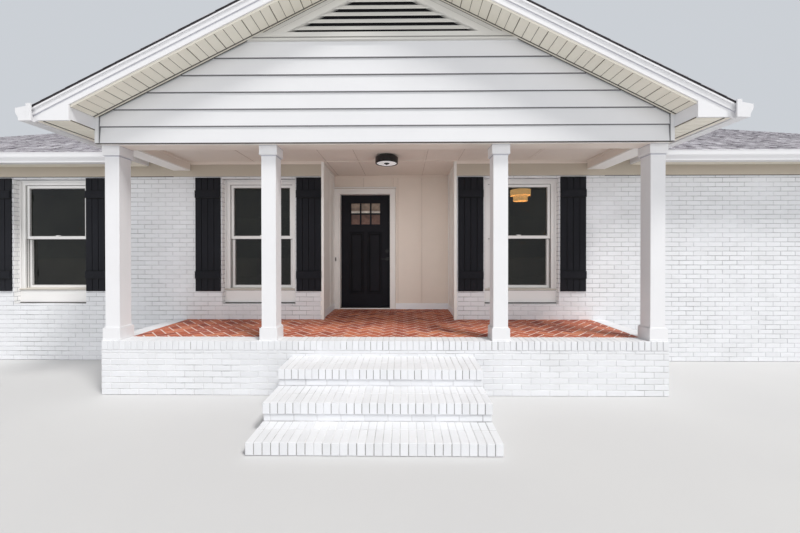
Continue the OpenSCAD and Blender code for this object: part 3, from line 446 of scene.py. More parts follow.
shader(DOOR)["Specular IOR Level"].default_value = 0.2
BLACK = painted("black_metal", (0.006, 0.006, 0.007), 0.38, 0.1, EVEN, 60.0, 0.1, 0.0004)
STEEL = new_material("hinge_steel", (0.55, 0.55, 0.54), 0.35, 1.0)
bump(STEEL, noise(STEEL, 60.0, 3.0, 0.5, (1.0, 1.0, 12.0)), 0.1, 0.0003)
WOOD = new_material("floor_wood", (0.35, 0.2, 0.11), 0.4)
base(WOOD, ramp(WOOD, noise(WOOD, 3.0, 6.0, 0.6, (0.6, 12.0, 1.0)), [
    (0.3, (0.20, 0.11, 0.06)), (0.7, (0.42, 0.26, 0.15))]))
PLASTER = painted("plaster", (0.72, 0.71, 0.68), 0.8, 0.03, EVEN, 80.0, 0.15, 0.001)
# Painted shadow: near-black strips laid in seams and gaps where shade falls
SHADOW_SEAM = painted("painted_shadow_seam", (0.09, 0.085, 0.08), 0.8, 0.1)
# Darker copy of the trim paint for the vent under the roof's overhang: painted shade
SHADED_VENT_PAINT = satin("vent_trim_in_painted_shade", (0.68, 0.67, 0.64))
# Painted shadow: grey lines between the vent's mouldings
VENT_SHADE_LINE = painted("vent_painted_shade_line", (0.30, 0.295, 0.28), 0.8, 0.05)
# Painted shade: black lines in the door's and shutters' grooves and at their mouldings and rails
BLACK_SHADE_LINE = painted("black_painted_shade_line", grey(0.002), 0.9, 0.1)
# Painted shadow: grey-violet lines at the rake band's foot and at the capitals
SHADOW_LINE = painted("painted_shadow_line", (0.54, 0.54, 0.60), 0.7, 0.05)
LAP_SHADE = painted("lap_shade", (0.17, 0.17, 0.18), 0.8, 0.05)
# Painted shadow: brown lines beside the porch's and entry's battens and trims
CEILING_SHADE_LINE = painted("ceiling_painted_shade_line", (0.50, 0.43, 0.37), 0.7, 0.05)
# The vent's screen, near black as painted shade of the dark space behind the blades
VENT_MESH_SHADE = painted("vent_mesh_painted_shade", (0.012, 0.012, 0.015), 0.9, 0.1, EVEN, 200.0, 0.3, 0.001)


def make_shingles(name, stops):
    """Asphalt shingles: each tab has its own shade of grey with a little violet, and granules."""
    material = new_material(name, stops[1][1], 0.92, specular=0.2)
    own = ramp(material, island(material), stops)
    shade(material, own, noise(material, 420.0, 2.0, 0.8), (0.35, grey(0.62)), (0.65, grey(1.25)))
    bump(material, noise(material, 380.0, 2.0, 0.8), 0.6, 0.002)
    return material


SHINGLE = make_shingles("shingles", [
    (0.0, (0.36, 0.35, 0.38)), (0.35, (0.60, 0.585, 0.625)),
    (0.7, (0.46, 0.44, 0.475)), (1.0, (0.72, 0.71, 0.75))])
SHINGLE_LOW = make_shingles("shingle_shade", [
    (0.0, (0.09, 0.08, 0.095)), (0.5, (0.21, 0.195, 0.22)), (1.0, (0.38, 0.365, 0.40))])
SHINGLE_BED = painted("shingle_bed", (0.05, 0.045, 0.05), 0.95, 0.2, EVEN, 300.0, 0.4, 0.001)


def make_paver():
    """Fired clay: orange to wine red bricks with sandy specks."""
    material = new_material("paver_brick", (0.36, 0.12, 0.08), 0.75, specular=0.3)
    own = ramp(material, island(material), [
        (0.0, (0.28, 0.07, 0.045)), (0.3, (0.42, 0.11, 0.06)), (0.6, (0.52, 0.15, 0.08)),
        (0.85, (0.60, 0.21, 0.11)), (1.0, (0.36, 0.10, 0.07))])
    shade(material, own, noise(material, 90.0, 4.0, 0.7), (0.3, grey(0.75)), (0.7, grey(1.2)))
    bump(material, noise(material, 70.0, 6.0, 0.7), 0.5, 0.003)
    return material


PAVER = make_paver()
MORTAR = painted("paver_mortar", (0.80, 0.66, 0.60), 0.9, 0.15, EVEN, 90.0, 0.4, 0.002)


# Window glass, mostly opaque and near black: painted shade of the rooms behind, with faint clouds
def make_glass():
    material = new_material("window_glass", (0.008, 0.009, 0.008), 0.03)
    inputs = shader(material)
    inputs["Alpha"].default_value = 0.8
    inputs["IOR"].default_value = 1.45
    base(material, ramp(material, noise(material, 1.1), [
        (0.35, (0.006, 0.007, 0.006)), (0.65, (0.018, 0.019, 0.014))]))
    return material


# Foot and head of the door's small panes, in metres
LITE_FOOT = 2.11
LITE_HEAD = 2.488


def make_lite():
    """The door's small panes: brown patterned glass, with a paler band across the middle."""
    material = new_material("door_lite", (0.10, 0.06, 0.045), 0.2)
    split = add_node(material, "SeparateXYZ")
    link(material, place_node(material), split.inputs[0])
    height = add_node(material, "MapRange")
    height.inputs["From Min"].default_value = LITE_FOOT
    height.inputs["From Max"].default_value = LITE_HEAD
    link(material, split.outputs["Z"], height.inputs["Value"])
    bands = ramp(material, height.outputs["Result"], [
        (0.0, (0.20, 0.10, 0.07)), (0.44, (0.12, 0.06, 0.04)), (0.50, (0.13, 0.07, 0.05)),
        (0.54, (0.85, 0.80, 0.72)), (0.62, (0.70, 0.62, 0.54)), (0.66, (0.26, 0.19, 0.14)),
        (1.0, (0.34, 0.26, 0.20))])
    shade(material, bands, noise(material, 14.0), (0.35, grey(0.7)), (0.65, grey(1.2)))
    bump(material, noise(material, 120.0), 0.2, 0.001)
    return material


GLASS = make_glass()
LITE = make_lite()


def glowing(name, colour, glow, strength, rough=0.6):
    material = painted(name, colour, rough, 0.08)
    inputs = shader(material)
    inputs["Emission Color"].default_value = (*glow, 1.0)
    inputs["Emission Strength"].default_value = strength
    return material


SHADE = glowing("lamp_shade", (0.72, 0.55, 0.34), (1.0, 0.58, 0.20), 8.5)
DIFFUSER = glowing("lamp_diffuser", (0.85, 0.86, 0.88), (0.85, 0.86, 0.88), 0.30, 0.3)

# The material of each solid
DRESS = (
    (STEP_JOINT, "step_bottom step_middle step_top porch_foundation"),
    (MORTAR, "porch_floor"),
    (JOINT_PAINT, "front_wall_left front_wall_right back_wall end_walls"),
    (LIT_PORCH_PAINT, "entry_side_walls porch_beam_front porch_side_beams door_frame"),
    (ENTRY_BOARD, "entry_wall_beside_door entry_wall_over_door"),
    (SIDING, "end_gables porch_gable"),
    (WOOD, "house_floor"),
    (PLASTER, "house_ceiling"),
    (SHADED_FRIEZE_PAINT, "frieze_boards"),
    (SHINGLE_BED, "roof_front_slope roof_back_slope porch_roof_left porch_roof_right ridge_caps"),
    (TRIM, "eave_fascias end_rake_boards porch_fascia gable_vent porch_columns"),
    (GROOVE_SHADE, "main_soffits porch_soffits"),
    (GUTTER, "main_gutters porch_gutters"),
    (CEILING, "porch_ceiling"),
    (FRAME, "porch_windows wing_windows back_windows"),
    (GLASS, "window_glass"),
    (SHUTTER, "window_shutters"),
    (DOOR, "front_door"),
    (LITE, "door_glass"),
    (BLACK, "door_lock door_lever porch_lamp"),
    (STEEL, "hinge_jamb_leaves hinge_door_leaves"),
    (SHADE, "pendant_lamp"),
)
for coat, names in DRESS:
    for node_name in names.split():
        data = NODES[node_name].data
        data.materials.clear()
        data.materials.append(coat)


# Brickwork

def cut_rects(rect, holes):
    """The parts of a rectangle (u0, v0, u1, v1) outside some holes."""
    parts = [rect]
    for left, low, right, high in holes:
        kept = []
        for u0, v0, u1, v1 in parts:
            if u1 <= left or u0 >= right or v1 <= low or v0 >= high:
                kept.append((u0, v0, u1, v1))
                continue
            if u0 < left:
                kept.append((u0, v0, left, v1))
            if u1 > right:
                kept.append((right, v0, u1, v1))
            near, far = max(u0, left), min(u1, right)
            if v0 < low:
                kept.append((near, v0, far, low))
            if v1 > high:
                kept.append((near, high, far, v1))
        parts = kept
    return parts


def brick_field(shape, spot, u0, u1, v0, v1, holes=(), shift=0):
    """Running bond of raised bricks on a plane, cut round its holes."""
    pitch = BRICK + JOINT
    row = 0
    v = v0
    while v < v1 - 5:
        top = min(v + COURSE, v1)
        u = u0 - pitch + (shift + (pitch / 2 if row % 2 else 0)) % pitch
        while u < u1:
            end = min(u + pitch - UPRIGHT_JOINT / 2, u1)
            rect = (max(u + UPRIGHT_JOINT / 2, u0), v + JOINT / 2, end, top - JOINT / 2)
            u += pitch
            if rect[2] - rect[0] < SLIM:
                continue
            for left, low, right, high in cut_rects(rect, holes):
                if right - left > SLIM and high - low > SLIM:
                    rise = PROUD + random.uniform(-1.5, 1)
                    shape.plate(spot, left, right, low, high, rise, 2.5)
        v += COURSE
        row += 1


WINDOW_HOLES = [(x - WINDOW_HALF, WINDOW_FOOT, x + WINDOW_HALF, WINDOW_HEAD) for x in WINDOWS]
END_HOLES = [(RIDGE_Y - WINDOW_HALF, WINDOW_FOOT, RIDGE_Y + WINDOW_HALF, WINDOW_HEAD)]


def across(side, at):
    """Places on an upright plane along the front, at a depth, that faces the back (1) or front (-1)."""
    return lambda u, v, w: (u, at + side * w, v)


def along(side, at, out=1):
    """Places on an upright plane along the depth, at a distance left (-1) or right (1) of the middle."""
    return lambda u, v, w: (side * (at + out * w), u, v)


# Each of these takes the parts of a window to its place in a wall
FRONT_TURNS = [lambda a, b, c, x=x: (x + a, b, c) for x in WINDOWS]
BACK_TURNS = [lambda a, b, c, x=x: (x + a, HOUSE_DEPTH - b, c) for x in WINDOWS]
END_TURNS = [lambda a, b, c, s=side: (s * (HOUSE_HALF - b), RIDGE_Y - a, c) for side in (-1, 1)]


def build_reveals(shape, turn):
    """The brick ends at both sides of a window's opening, in a paler copy of the brick paint: painted light
    on these sideways faces.
    """
    shape.turn = turn
    half = WINDOW_HALF
    for course in range(math.ceil(WINDOW_HEAD / COURSE)):
        low = max(COURSE * course + 4, WINDOW_FOOT)
        high = min(COURSE * (course + 1) - 4, WINDOW_HEAD)
        if high - low > 10:
            split = 45 if course % 2 else SETBACK - 1
            for y0, y1 in ((0, split - 3), (split + 3, SETBACK - 1)):
                if y1 - y0 > 10:
                    for x0, x1 in ((-half, -half + 4), (half - 4, half)):
                        shape.block((x0, y0, low), (x1, y1, high), 1.5, 1)
    shape.turn = None


def wall_bricks(name, fields, head, holes, turns):
    """The bricks of one wall: fields are its planes with their ends, and turns place its windows."""
    skin = Shape()
    for spot, low, high in fields:
        brick_field(skin, spot, low, high, 0, head, holes)
    for turn in turns:
        build_reveals(skin, turn)
    piece(name, skin, [WHITE_BRICK, LIT_REVEAL])


def build_walls():
    front, back = across(-1, 0), across(1, HOUSE_DEPTH)
    fields = [(front, -HOUSE_HALF, RECESS[0] - 2), (front, RECESS[1] + 2, HOUSE_HALF)]
    holes = WINDOW_HOLES + [(-CORNER_X, 0, CORNER_X, PORCH_FLOOR)]
    wall_bricks("front_wall_bricks", fields, BRICK_TOP, holes, FRONT_TURNS)
    fields = [(back, -HOUSE_HALF, HOUSE_HALF)]
    wall_bricks("back_wall_bricks", fields, BRICK_TOP, WINDOW_HOLES, BACK_TURNS)
    fields = [(along(side, HOUSE_HALF), 0, HOUSE_DEPTH) for side in (-1, 1)]
    wall_bricks("end_wall_bricks", fields, SOFFIT - 2, END_HOLES, END_TURNS)


def build_inner_walls():
    """Plaster and a skirting board on the inner faces of the brick walls."""
    skin = Shape()
    inner_x, back = HOUSE_HALF - WALL, HOUSE_DEPTH - WALL
    faces = (
        (across(1, WALL), -inner_x, RECESS[0] - 152, WINDOW_HOLES),
        (across(1, WALL), RECESS[1] + 152, inner_x, WINDOW_HOLES),
        (across(-1, back), -inner_x, inner_x, WINDOW_HOLES),
        (along(-1, inner_x, -1), WALL, back, END_HOLES),
        (along(1, inner_x, -1), WALL, back, END_HOLES))
    for spot, low, high, holes in faces:
        for u0, v0, u1, v1 in cut_rects((low, FLOOR, high, INNER_HEAD), holes):
            skin.plate(spot, u0, u1, v0, v1, 2, 0.5)
        skin.plate(spot, low, high, FLOOR, FLOOR + 100, 14, 4, 1)
    piece("inner_wall_plaster", skin, [PLASTER, FRAME])


def rowlocks(shape, x0, x1, y0, y1, z0, z1, pitch, along="x", cracks=0):
    """A row of bricks on edge as small blocks, with open joints."""
    low, high = (x0, x1) if along == "x" else (y0, y1)
    count = max(1, round((high - low) / pitch))
    step = (high - low) / count
    for i in range(count):
        a = low + i * step + 3.5
        b = low + (i + 1) * step - 3.5
        dip = random.uniform(0, 2.5)
        if along == "x":
            shape.block((a, y0 - dip, z0), (b, y1, z1 - dip), 2.5)
            if i < count - 1 and random.random() < cracks:
                foot = z0 + random.uniform(0, 8)
                head = z1 - random.uniform(5, 14)
                shape.block((b, y0 + 3, foot), (b + 7, y0 + 5.5, head), 0, 1)
        else:
            shape.block((x0, a, z0), (x1, b, z1 - dip), 2.5)


def build_porch_base():
    half = 3194.5
    skin = Shape()
    top = PORCH_FLOOR - ROWLOCK
    edge, cap = PORCH_EDGE_Y, PORCH_FLOOR + 5
    steps = [(-STEP_HALF, 0, STEP_HALF, 441)]
    brick_field(skin, across(-1, edge), -half, half, 0, top, steps)
    for side in (-1, 1):
        brick_field(skin, along(side, half), edge, 0, 0, top)
    rowlocks(skin, -half, half, edge - 6, edge + 188, top + 5, cap, 68, cracks=0.3)
    for side in (-1, 1):
        rowlocks(skin, side * (half + 6), side * (half - 188), edge + 196, -2, top + 5, cap, 68, "y")
    piece("porch_base_bricks", skin, [WHITE_BRICK, CRACK])


def build_steps():
    half = STEP_HALF
    for name, (front, behind, foot, head) in STEPS.items():
        skin = Shape()
        rowlock_foot = max(foot, head - ROWLOCK) + 5
        rowlocks(skin, -half - 8, half + 8, front - 5, front + 198, rowlock_foot, head + 5, 69, cracks=0.8)
        rowlocks(skin, -half - 8, half + 8, front + 206, behind, head - 20, head + 5, 69)
        riser = rowlock_foot > foot + 30
        if riser:
            brick_field(skin, across(-1, front + 12), -half, half, foot, rowlock_foot - 5, shift=60)
        for side in (-1, 1):
            brick_field(skin, along(side, half), front + 204, PORCH_EDGE_Y, foot, head)
            if riser:
                brick_field(skin, along(side, half), front + 12, front + 198, foot, rowlock_foot - 5)
        piece(f"step_{name}_bricks", skin, [WHITE_BRICK, CRACK])


def clip(outline, box):
    """A convex outline cut to a rectangle (u0, v0, u1, v1)."""
    for axis, limit, sign in ((0, box[0], 1), (1, box[1], 1), (0, box[2], -1), (1, box[3], -1)):
        kept = []
        for i, here in enumerate(outline):
            back = outline[i - 1]
            inside, was = sign * (here[axis] - limit) >= 0, sign * (back[axis] - limit) >= 0
            if inside != was:
                part = (limit - back[axis]) / (here[axis] - back[axis])
                kept.append(tuple(back[k] + part * (here[k] - back[k]) for k in (0, 1)))
            if inside:
                kept.append(here)
        outline = kept
    return outline


def build_pavers():
    """Clay pavers in a herringbone at 45 degrees, on the porch and in the entry."""
    skin = Shape()
    cell, gap, lean = 106, 15, math.sqrt(0.5)
    areas = ((-2998, PORCH_EDGE_Y + 192, 2998, -2),
             (RECESS[0] + 2, 0, RECESS[1] - 2, RECESS_DEPTH - 22))
    for k in range(-34, 35):
        for m in range(-17, 18):
            for u, v, wide, tall in ((k + 2 * m, k - 2 * m, 2, 1), (k + 2 * m, k - 2 * m + 1, 1, 2)):
                u0, u1 = u * cell + gap / 2, (u + wide) * cell - gap / 2
                v0, v1 = v * cell + gap / 2, (v + tall) * cell - gap / 2
                corners = ((u0, v0), (u1, v0), (u1, v1), (u0, v1))
                turned = [((a - b) * lean, (a + b) * lean) for a, b in corners]
                rise = 1.6 + random.uniform(-0.6, 0.6)
                for area in areas:
                    part = clip(turned, area)
                    if len(part) > 2:
                        skin.prism(part, lambda a, b, w: (a, b, PORCH_FLOOR + w), 0, rise)
    piece("porch_pavers", skin, [PAVER])


# Roofs

MAIN_LEAN = (5 / 13, 12 / 13)
PORCH_LEAN = (math.sqrt(0.2), math.sqrt(0.8))
SHOWN = 143
LIP = 26
MAIN_COURSE = SHOWN * MAIN_LEAN[1]
PORCH_COURSE = SHOWN * PORCH_LEAN[1]
ROOF_END = MAIN_END + 6
PORCH_RIDGE_END = 4200


def shingle_course(shape, spot, u0, u1, v0, v1, lean0=0, lean1=0):
    """A course of laminated shingles: thick and thin tabs of mixed widths. Each lean slants an end."""
    u = u0
    thick = random.random() < 0.5
    while u < u1 - 1:
        end = u + (random.uniform(80, 200) if thick else random.uniform(55, 150))
        if end > u1 - 70:
            end = u1
        low = (u, u + lean0 if u == u0 else u)
        high = (end, end + lean1 if end == u1 else end)
        shape.tab(spot, low, high, v0, v1 + 4, 9 if thick else 4, 1, 0 if thick else 1)
        u = end
        thick = not thick


def valley_x(y):
    """Distance from the middle at which the porch roof meets the main roof."""
    return 2 * (PORCH_RIDGE - main_top(y))


def build_main_shingles():
    front, rear = Shape(), Shape()

    def on_rear(u, v, w):
        return (u, HOUSE_DEPTH - v + w * MAIN_LEAN[0], main_top(v) + w * MAIN_LEAN[1])

    y = EAVE_Y - LIP
    while y < RIDGE_Y - 5:
        top = min(y + MAIN_COURSE, RIDGE_Y)
        shingle_course(rear, on_rear, -ROOF_END, ROOF_END, y, top)
        inner, upper = valley_x(y), valley_x(top)
        for side in (-1, 1):
            def on_slope(u, v, w, s=side):
                return (s * u, v - w * MAIN_LEAN[0], main_top(v) + w * MAIN_LEAN[1])

            if top < -110:
                shingle_course(front, on_slope, MAIN_EAVE_X + 2, ROOF_END, y, top)
            elif upper > 60:
                shingle_course(front, on_slope, inner - 20, ROOF_END, y, top, upper - inner)
            elif side > 0:
                shingle_course(front, on_slope, -ROOF_END, ROOF_END, y, top)
        y = top
    piece("front_slope_shingles", front, [SHINGLE, SHINGLE_LOW])
    piece("back_slope_shingles", rear, [SHINGLE, SHINGLE_LOW])


def build_porch_shingles():
    front = FASCIA_Y - LIP

    def valley_y(x):
        return (PORCH_RIDGE - PORCH_SLOPE * x - EAVE_HEIGHT) / MAIN_SLOPE - OVERHANG

    for name, side in (("left", -1), ("right", 1)):
        skin = Shape()

        def on_slope(u, v, w, s=side):
            return (s * (w * PORCH_LEAN[0] - v), u, porch_top(v) + w * PORCH_LEAN[1])

        x = PORCH_EAVE_X + LIP
        while x > 5:
            upper = max(x - PORCH_COURSE, 0)
            far, far_upper = valley_y(x) + 12, valley_y(upper) + 12
            shingle_course(skin, on_slope, front, far, -x, -upper, 0, far_upper - far)
            x = upper
        piece(f"porch_shingles_{name}", skin, [SHINGLE, SHINGLE_LOW])


def build_ridge_caps():
    """Folded caps that overlap along each ridge."""
    skin = Shape()
    wide = 153

    def on_main_ridge(u, t, w):
        return (u, RIDGE_Y + t, main_top(RIDGE_Y) + CAP_THICK + w - MAIN_SLOPE * abs(t))

    def on_porch_ridge(u, t, w):
        return (t, u, PORCH_RIDGE + CAP_THICK + w - PORCH_SLOPE * abs(t))

    for place, low, high in ((on_main_ridge, -ROOF_END, ROOF_END),
                             (on_porch_ridge, FASCIA_Y - LIP, PORCH_RIDGE_END)):
        u = low
        while u < high:
            end = min(u + SHOWN, high)
            points = [place(a, t, w) for a, rise in ((u, 7), (end, 1.5)) for w in (-9, rise)
                      for t in (-wide, 0, wide)]
            faces = [(3, 4, 10, 9), (4, 5, 11, 10), (0, 1, 4, 3), (1, 2, 5, 4),
                     (6, 9, 10, 7), (7, 10, 11, 8), (0, 3, 9, 6), (2, 8, 11, 5)]
            skin.add(points, faces, random.choice((0, 0, 1)))
            u = end
    piece("ridge_cap_shingles", skin, [SHINGLE, SHINGLE_LOW])


# Soffits


def upright(u, v, w):
    """A place on an upright plane along the front, with w along the depth."""
    return (u, w, v)


def rake_strip(edge, upper, lower):
    """The outline of a strip under the porch roof, from its ridge to an edge."""
    return [(0, PORCH_RIDGE - upper), (edge, porch_top(edge) - upper),
            (edge, porch_top(edge) - lower), (0, PORCH_RIDGE - lower)]


def panels(shape, spot, u0, u1, v0, v1, pitch=104):
    """Grooved vinyl on a plane: strips side by side, with a wider groove after every third."""
    count = 0
    u = u0
    while u < u1 - 15:
        groove = 9 if count % 3 == 2 else 5.5
        shape.plate(spot, u, min(u + pitch - groove, u1), v0, v1, 4, 1)
        u += pitch
        count += 1


def build_eave_soffits():
    skin = Shape()
    inner = MAIN_EAVE_X + 4
    for side in (-1, 1):
        def under_eave(u, v, w, s=side):
            return (s * u, v, SOFFIT - w)

        panels(skin, under_eave, inner, SOFFIT_END, -303, -42)
        skin.plate(under_eave, inner, SOFFIT_END, -38, -21, 7, 2)
        # Painted shadow line at the foot of the wings' frieze
        skin.block((side * 3200, -19.5, BRICK_TOP - 7), (side * 8590, -6, BRICK_TOP - 0.5), 0, 1)

    def under_back(u, v, w):
        return (u, v, SOFFIT - w)

    panels(skin, under_back, -SOFFIT_END, SOFFIT_END, 9042, 9303)
    skin.plate(under_back, -SOFFIT_END, SOFFIT_END, 9021, 9038, 7, 2)
    reach = RIDGE_Y / MAIN_LEAN[1] - 12
    for side in (-1, 1):
        for flip in (0, 1):
            def under_rake(u, v, w, s=side, back=flip):
                y = u * MAIN_LEAN[1] + w * MAIN_LEAN[0]
                z = main_top(0) + u * MAIN_LEAN[0] - ROOF_DEPTH - 12 - w * MAIN_LEAN[1]
                return (s * v, HOUSE_DEPTH - y if back else y, z)

            panels(skin, under_rake, 6, reach, 8648, SOFFIT_END)
            skin.plate(under_rake, 6, reach, 8624, 8644, 7, 2)
    piece("eave_soffit_panels", skin, [SOFFIT_VINYL, SHADOW_SEAM])


def build_porch_soffits():
    skin = Shape()
    reach = CORNER_X / PORCH_LEAN[1] - 4
    front, back = -1592, -24
    for side in (-1, 1):
        def under_side(u, v, w, s=side):
            return (s * v, u, PORCH_SOFFIT - w)

        panels(skin, under_side, front, back, 3214, 3456)
        skin.plate(under_side, front, back, 3192, 3210, 7, 2)
        # Painted shadow line beside the side panels
        skin.plate(under_side, front, back, 3458, 3478, 5, 0.5, 1)
        skin.plate(under_side, front, back, 3480, 3534, 6, 2)

        def under_slope(u, v, w, s=side):
            x = u * PORCH_LEAN[1] - w * PORCH_LEAN[0]
            z = PORCH_RIDGE - ROOF_DEPTH - 12 - u * PORCH_LEAN[0] - w * PORCH_LEAN[1]
            return (s * x, v, z)

        panels(skin, under_slope, 6, reach, -1595, -1348, 106)
        # This strip and the strip at -1318 are painted shadow lines along the J-channel
        skin.plate(under_slope, 6, reach, -1348, -1335, 5.5, 0.5, 1)
        skin.prism(rake_strip(side * CORNER_X, 159, 184), upright, -1599, -1594.5)
        skin.plate(under_slope, 6, reach, -1334, -1312, 8, 2)
        skin.plate(under_slope, 6, reach, -1318, -1311, 13, 0.5, 1)
    piece("porch_soffit_panels", skin, [SOFFIT_VINYL, SHADOW_SEAM])


# Gable, vent and trim lines


def build_gable():
    """Painted shade lines under the laps, the corner boards with a painted shade line beside each, and a
    painted shadow line under the siding.
    """
    skin = Shape()
    head = PORCH_RIDGE - ROOF_DEPTH - 14
    z = BEAM_FOOT + SIDING_STEP
    while z < head - 60:
        far = min((head - z) / PORCH_SLOPE, PORCH_HALF) - 10
        near = (VENT_PEAK - z) / PORCH_SLOPE + 4 if z > VENT_BOARD_FOOT else 0
        for low, high in (((-far, -near), (near, far)) if near else ((-far, far),)):
            if high - low > 30:
                skin.block((low, SIDING_Y + 1, z - 9), (high, SIDING_Y + 15, z), 0, 1)
        z += SIDING_STEP
    for side in (-1, 1):
        x0, x1 = side * POST_INNER, side * POST_OUTER
        post = [(x0, BEAM_FOOT), (x1, BEAM_FOOT), (x1, 3110), (x0, 3131)]
        skin.prism(post, upright, SIDING_Y - 9, SIDING_Y + 12)
        skin.block((x0 - side * 6, SIDING_Y - 3, BEAM_FOOT), (x0, SIDING_Y + 12, 3132), 0, 1)
    # Painted shadow line under the foot of the siding
    skin.bar(POST_OUTER, SIDING_Y - 3, SIDING_Y + 25, BEAM_FOOT - 6, BEAM_FOOT, 0, 2)
    piece("gable_trims", skin, [SIDING, LAP_SHADE, SHADOW_SEAM])


def build_vent():
    """The louvred vent: a screen painted near black as shade behind the blades, a frame with its mouldings
    and painted shadow lines, and sloping blades.
    """
    skin = Shape()
    peak = VENT_FOOT + VENT_HALF / 2
    deep = SIDING_Y + 110
    screen = [(-VENT_HALF, VENT_FOOT), (VENT_HALF, VENT_FOOT), (0, peak)]
    skin.prism(screen, upright, SIDING_Y + 34, SIDING_Y + 38, 1)
    half = 2 * (VENT_PEAK - VENT_FOOT)
    foot_board = [(-VENT_REACH, VENT_BOARD_FOOT), (VENT_REACH, VENT_BOARD_FOOT),
                  (half, VENT_FOOT), (-half, VENT_FOOT)]
    skin.prism(foot_board, upright, SIDING_Y - 6, deep)
    # Mark 2 here and on the slopes below is a painted shadow line
    for inset, out, low, high, bevel, mark in ((72, 14, 3988, VENT_FOOT, 2.5, 0),
                                               (50, 8, 3974, 3988, 0, 2),
                                               (8, 16, 3952, 3974, 4, 0)):
        skin.bar(VENT_REACH - inset, SIDING_Y - out, SIDING_Y - 5, low, high, bevel, mark)
    for side in (-1, 1):
        board = [(side * half, VENT_FOOT), (side * VENT_HALF, VENT_FOOT), (0, peak), (0, VENT_PEAK)]
        skin.prism(board, upright, SIDING_Y - 6, deep)
        for low, high, out, mark in ((4562, 4640, 14, 0), (4640, 4648, 7.5, 2)):
            foot = VENT_FOOT - 2
            far_low, far_high = side * (low - foot) / 0.5, side * (high - foot) / 0.5
            outline = [(far_low, foot), (far_high, foot), (0, high), (0, low)]
            skin.prism(outline, upright, SIDING_Y - out, SIDING_Y - 5, mark)
    z = VENT_FOOT + 30
    while z < peak - 45:
        low_half, high_half = 2 * (peak - z) + 6, 2 * (peak - z - 50) + 6
        points = []
        for y, height, reach in ((2, z, low_half), (24, z + 46, high_half),
                                 (19, z + 52, high_half), (-3, z + 6, low_half)):
            points.extend([(-reach, SIDING_Y + y, height), (reach, SIDING_Y + y, height)])
        faces = [(0, 1, 3, 2), (2, 3, 5, 4), (4, 5, 7, 6), (6, 7, 1, 0), (0, 2, 4, 6), (1, 3, 5, 7)]
        skin.add(points, faces)
        z += BLADE_STEP
    piece("vent_boards", skin, [SHADED_VENT_PAINT, VENT_MESH_SHADE, VENT_SHADE_LINE], over=("gable_vent",))


def build_rake_lines():
    skin = Shape()
    # The first strip is a painted shadow line at the foot of the rake band
    for upper, lower, out, mark in ((88, 100, 3, 1), (ROOFING + 2, ROOFING + 12, 13, 0),
                                    (22, ROOFING + 2, 23, 0)):
        for side in (-1, 1):
            outline = rake_strip(side * PORCH_EAVE_X, upper, lower)
            skin.prism(outline, upright, FASCIA_Y - out, FASCIA_Y, mark)
    piece("rake_lines", skin, [TRIM, SHADOW_LINE])


def build_end_lines():
    """Shade lines under the laps of both end gables."""
    skin = Shape()
    z = SOFFIT + SIDING_STEP
    while z < 4800:
        near = max((z + ROOF_DEPTH + 2 - EAVE_HEIGHT) / MAIN_SLOPE - OVERHANG, 0) + 20
        for side in (-1, 1):
            skin.block((side * 8607, near, z - 9), (side * 8619, HOUSE_DEPTH - near, z))
        z += SIDING_STEP
    piece("end_siding_lines", skin, [LAP_SHADE])


def build_gutter_parts():
    skin = Shape()
    for side in (-1, 1):
        skin.block((side * 3696, -1651, 3074), (side * 3708, -455, 3086), 4)
        skin.block((side * 3532, -1664, 2950), (side * 3582, -1650, 3126), 2)
        skin.block((side * 3582, -454, 2975), (side * 8905, -442, 2987), 4)
        for x in range(4000, 8900, 610):
            skin.block((side * x, -446, 2966), (side * (x + 22), -330, 2970))
    skin.bar(8905, 9442, 9454, 2975, 2987, 4)
    piece("gutter_lips", skin, [GUTTER])


# Porch


def build_porch_trims():
    skin = Shape()
    for x in (-2000, -927, -450, 538, 1015, 2050):
        back = 905 if RECESS[0] < x < RECESS[1] else -24
        skin.block((x - 17, BEAM_BACK + 2, PORCH_CEILING - 6), (x + 17, back, PORCH_CEILING), 2)
        # Painted shadow line beside each ceiling batten
        skin.block((x + 17, BEAM_BACK + 2, PORCH_CEILING - 2), (x + 23, back, PORCH_CEILING), 0, 1)
    for low, high in ((-BEAM_INNER, RECESS[0]), (RECESS[1], BEAM_INNER)):
        skin.block((low, -27, CROWN_FOOT), (high, -20, PORCH_CEILING), 2)
        # Painted shadow line under the crown
        skin.block((low, -23, CROWN_FOOT - 6), (high, -20, CROWN_FOOT), 0, 1)
    skin.bar(BEAM_INNER, BEAM_BACK, BEAM_BACK + 14, PORCH_CEILING - 30, PORCH_CEILING, 3)
    for side in (-1, 1):
        skin.block((side * BEAM_INNER, BEAM_BACK + 14, PORCH_CEILING - 30),
                   (side * (BEAM_INNER - 14), -28, PORCH_CEILING), 3)
        # A ceiling board on each side beam's inner face, its brown partly painted shade on the white beam
        skin.block((side * (BEAM_INNER + 1), BEAM_BACK + 14, BEAM_FOOT + 16),
                   (side * (BEAM_INNER - 3), -28, PORCH_CEILING - 30), 0)
    # A ceiling board under the front beam, its brown partly painted shade on the white beam
    skin.bar(3160, -1228, BEAM_BACK - 1, BEAM_FOOT - 3, BEAM_FOOT)
    skin.bar(BEAM_INNER, -44, -28, PORCH_CEILING - 9, PORCH_CEILING, 2)
    piece("porch_ceiling_trims", skin, [CEILING, CEILING_SHADE_LINE])

    trims = Shape()
    for x in COLUMNS:
        # The grey bands under each capital and at its top are painted shadow lines
        for reach, low, high, mark in ((5, 2708, 2720, 1), (9, 751, 762, 0),
                                       (21, 2824, BEAM_FOOT, 1), (20, PORCH_FLOOR, 634, 0),
                                       (20.5, 2722, 2738, 0)):
            half = COLUMN_HALF + reach
            trims.block((x - half, COLUMN_Y - half, low), (x + half, COLUMN_Y + half, high), 2.5, mark)
    piece("column_trims", trims, [TRIM, SHADOW_LINE])


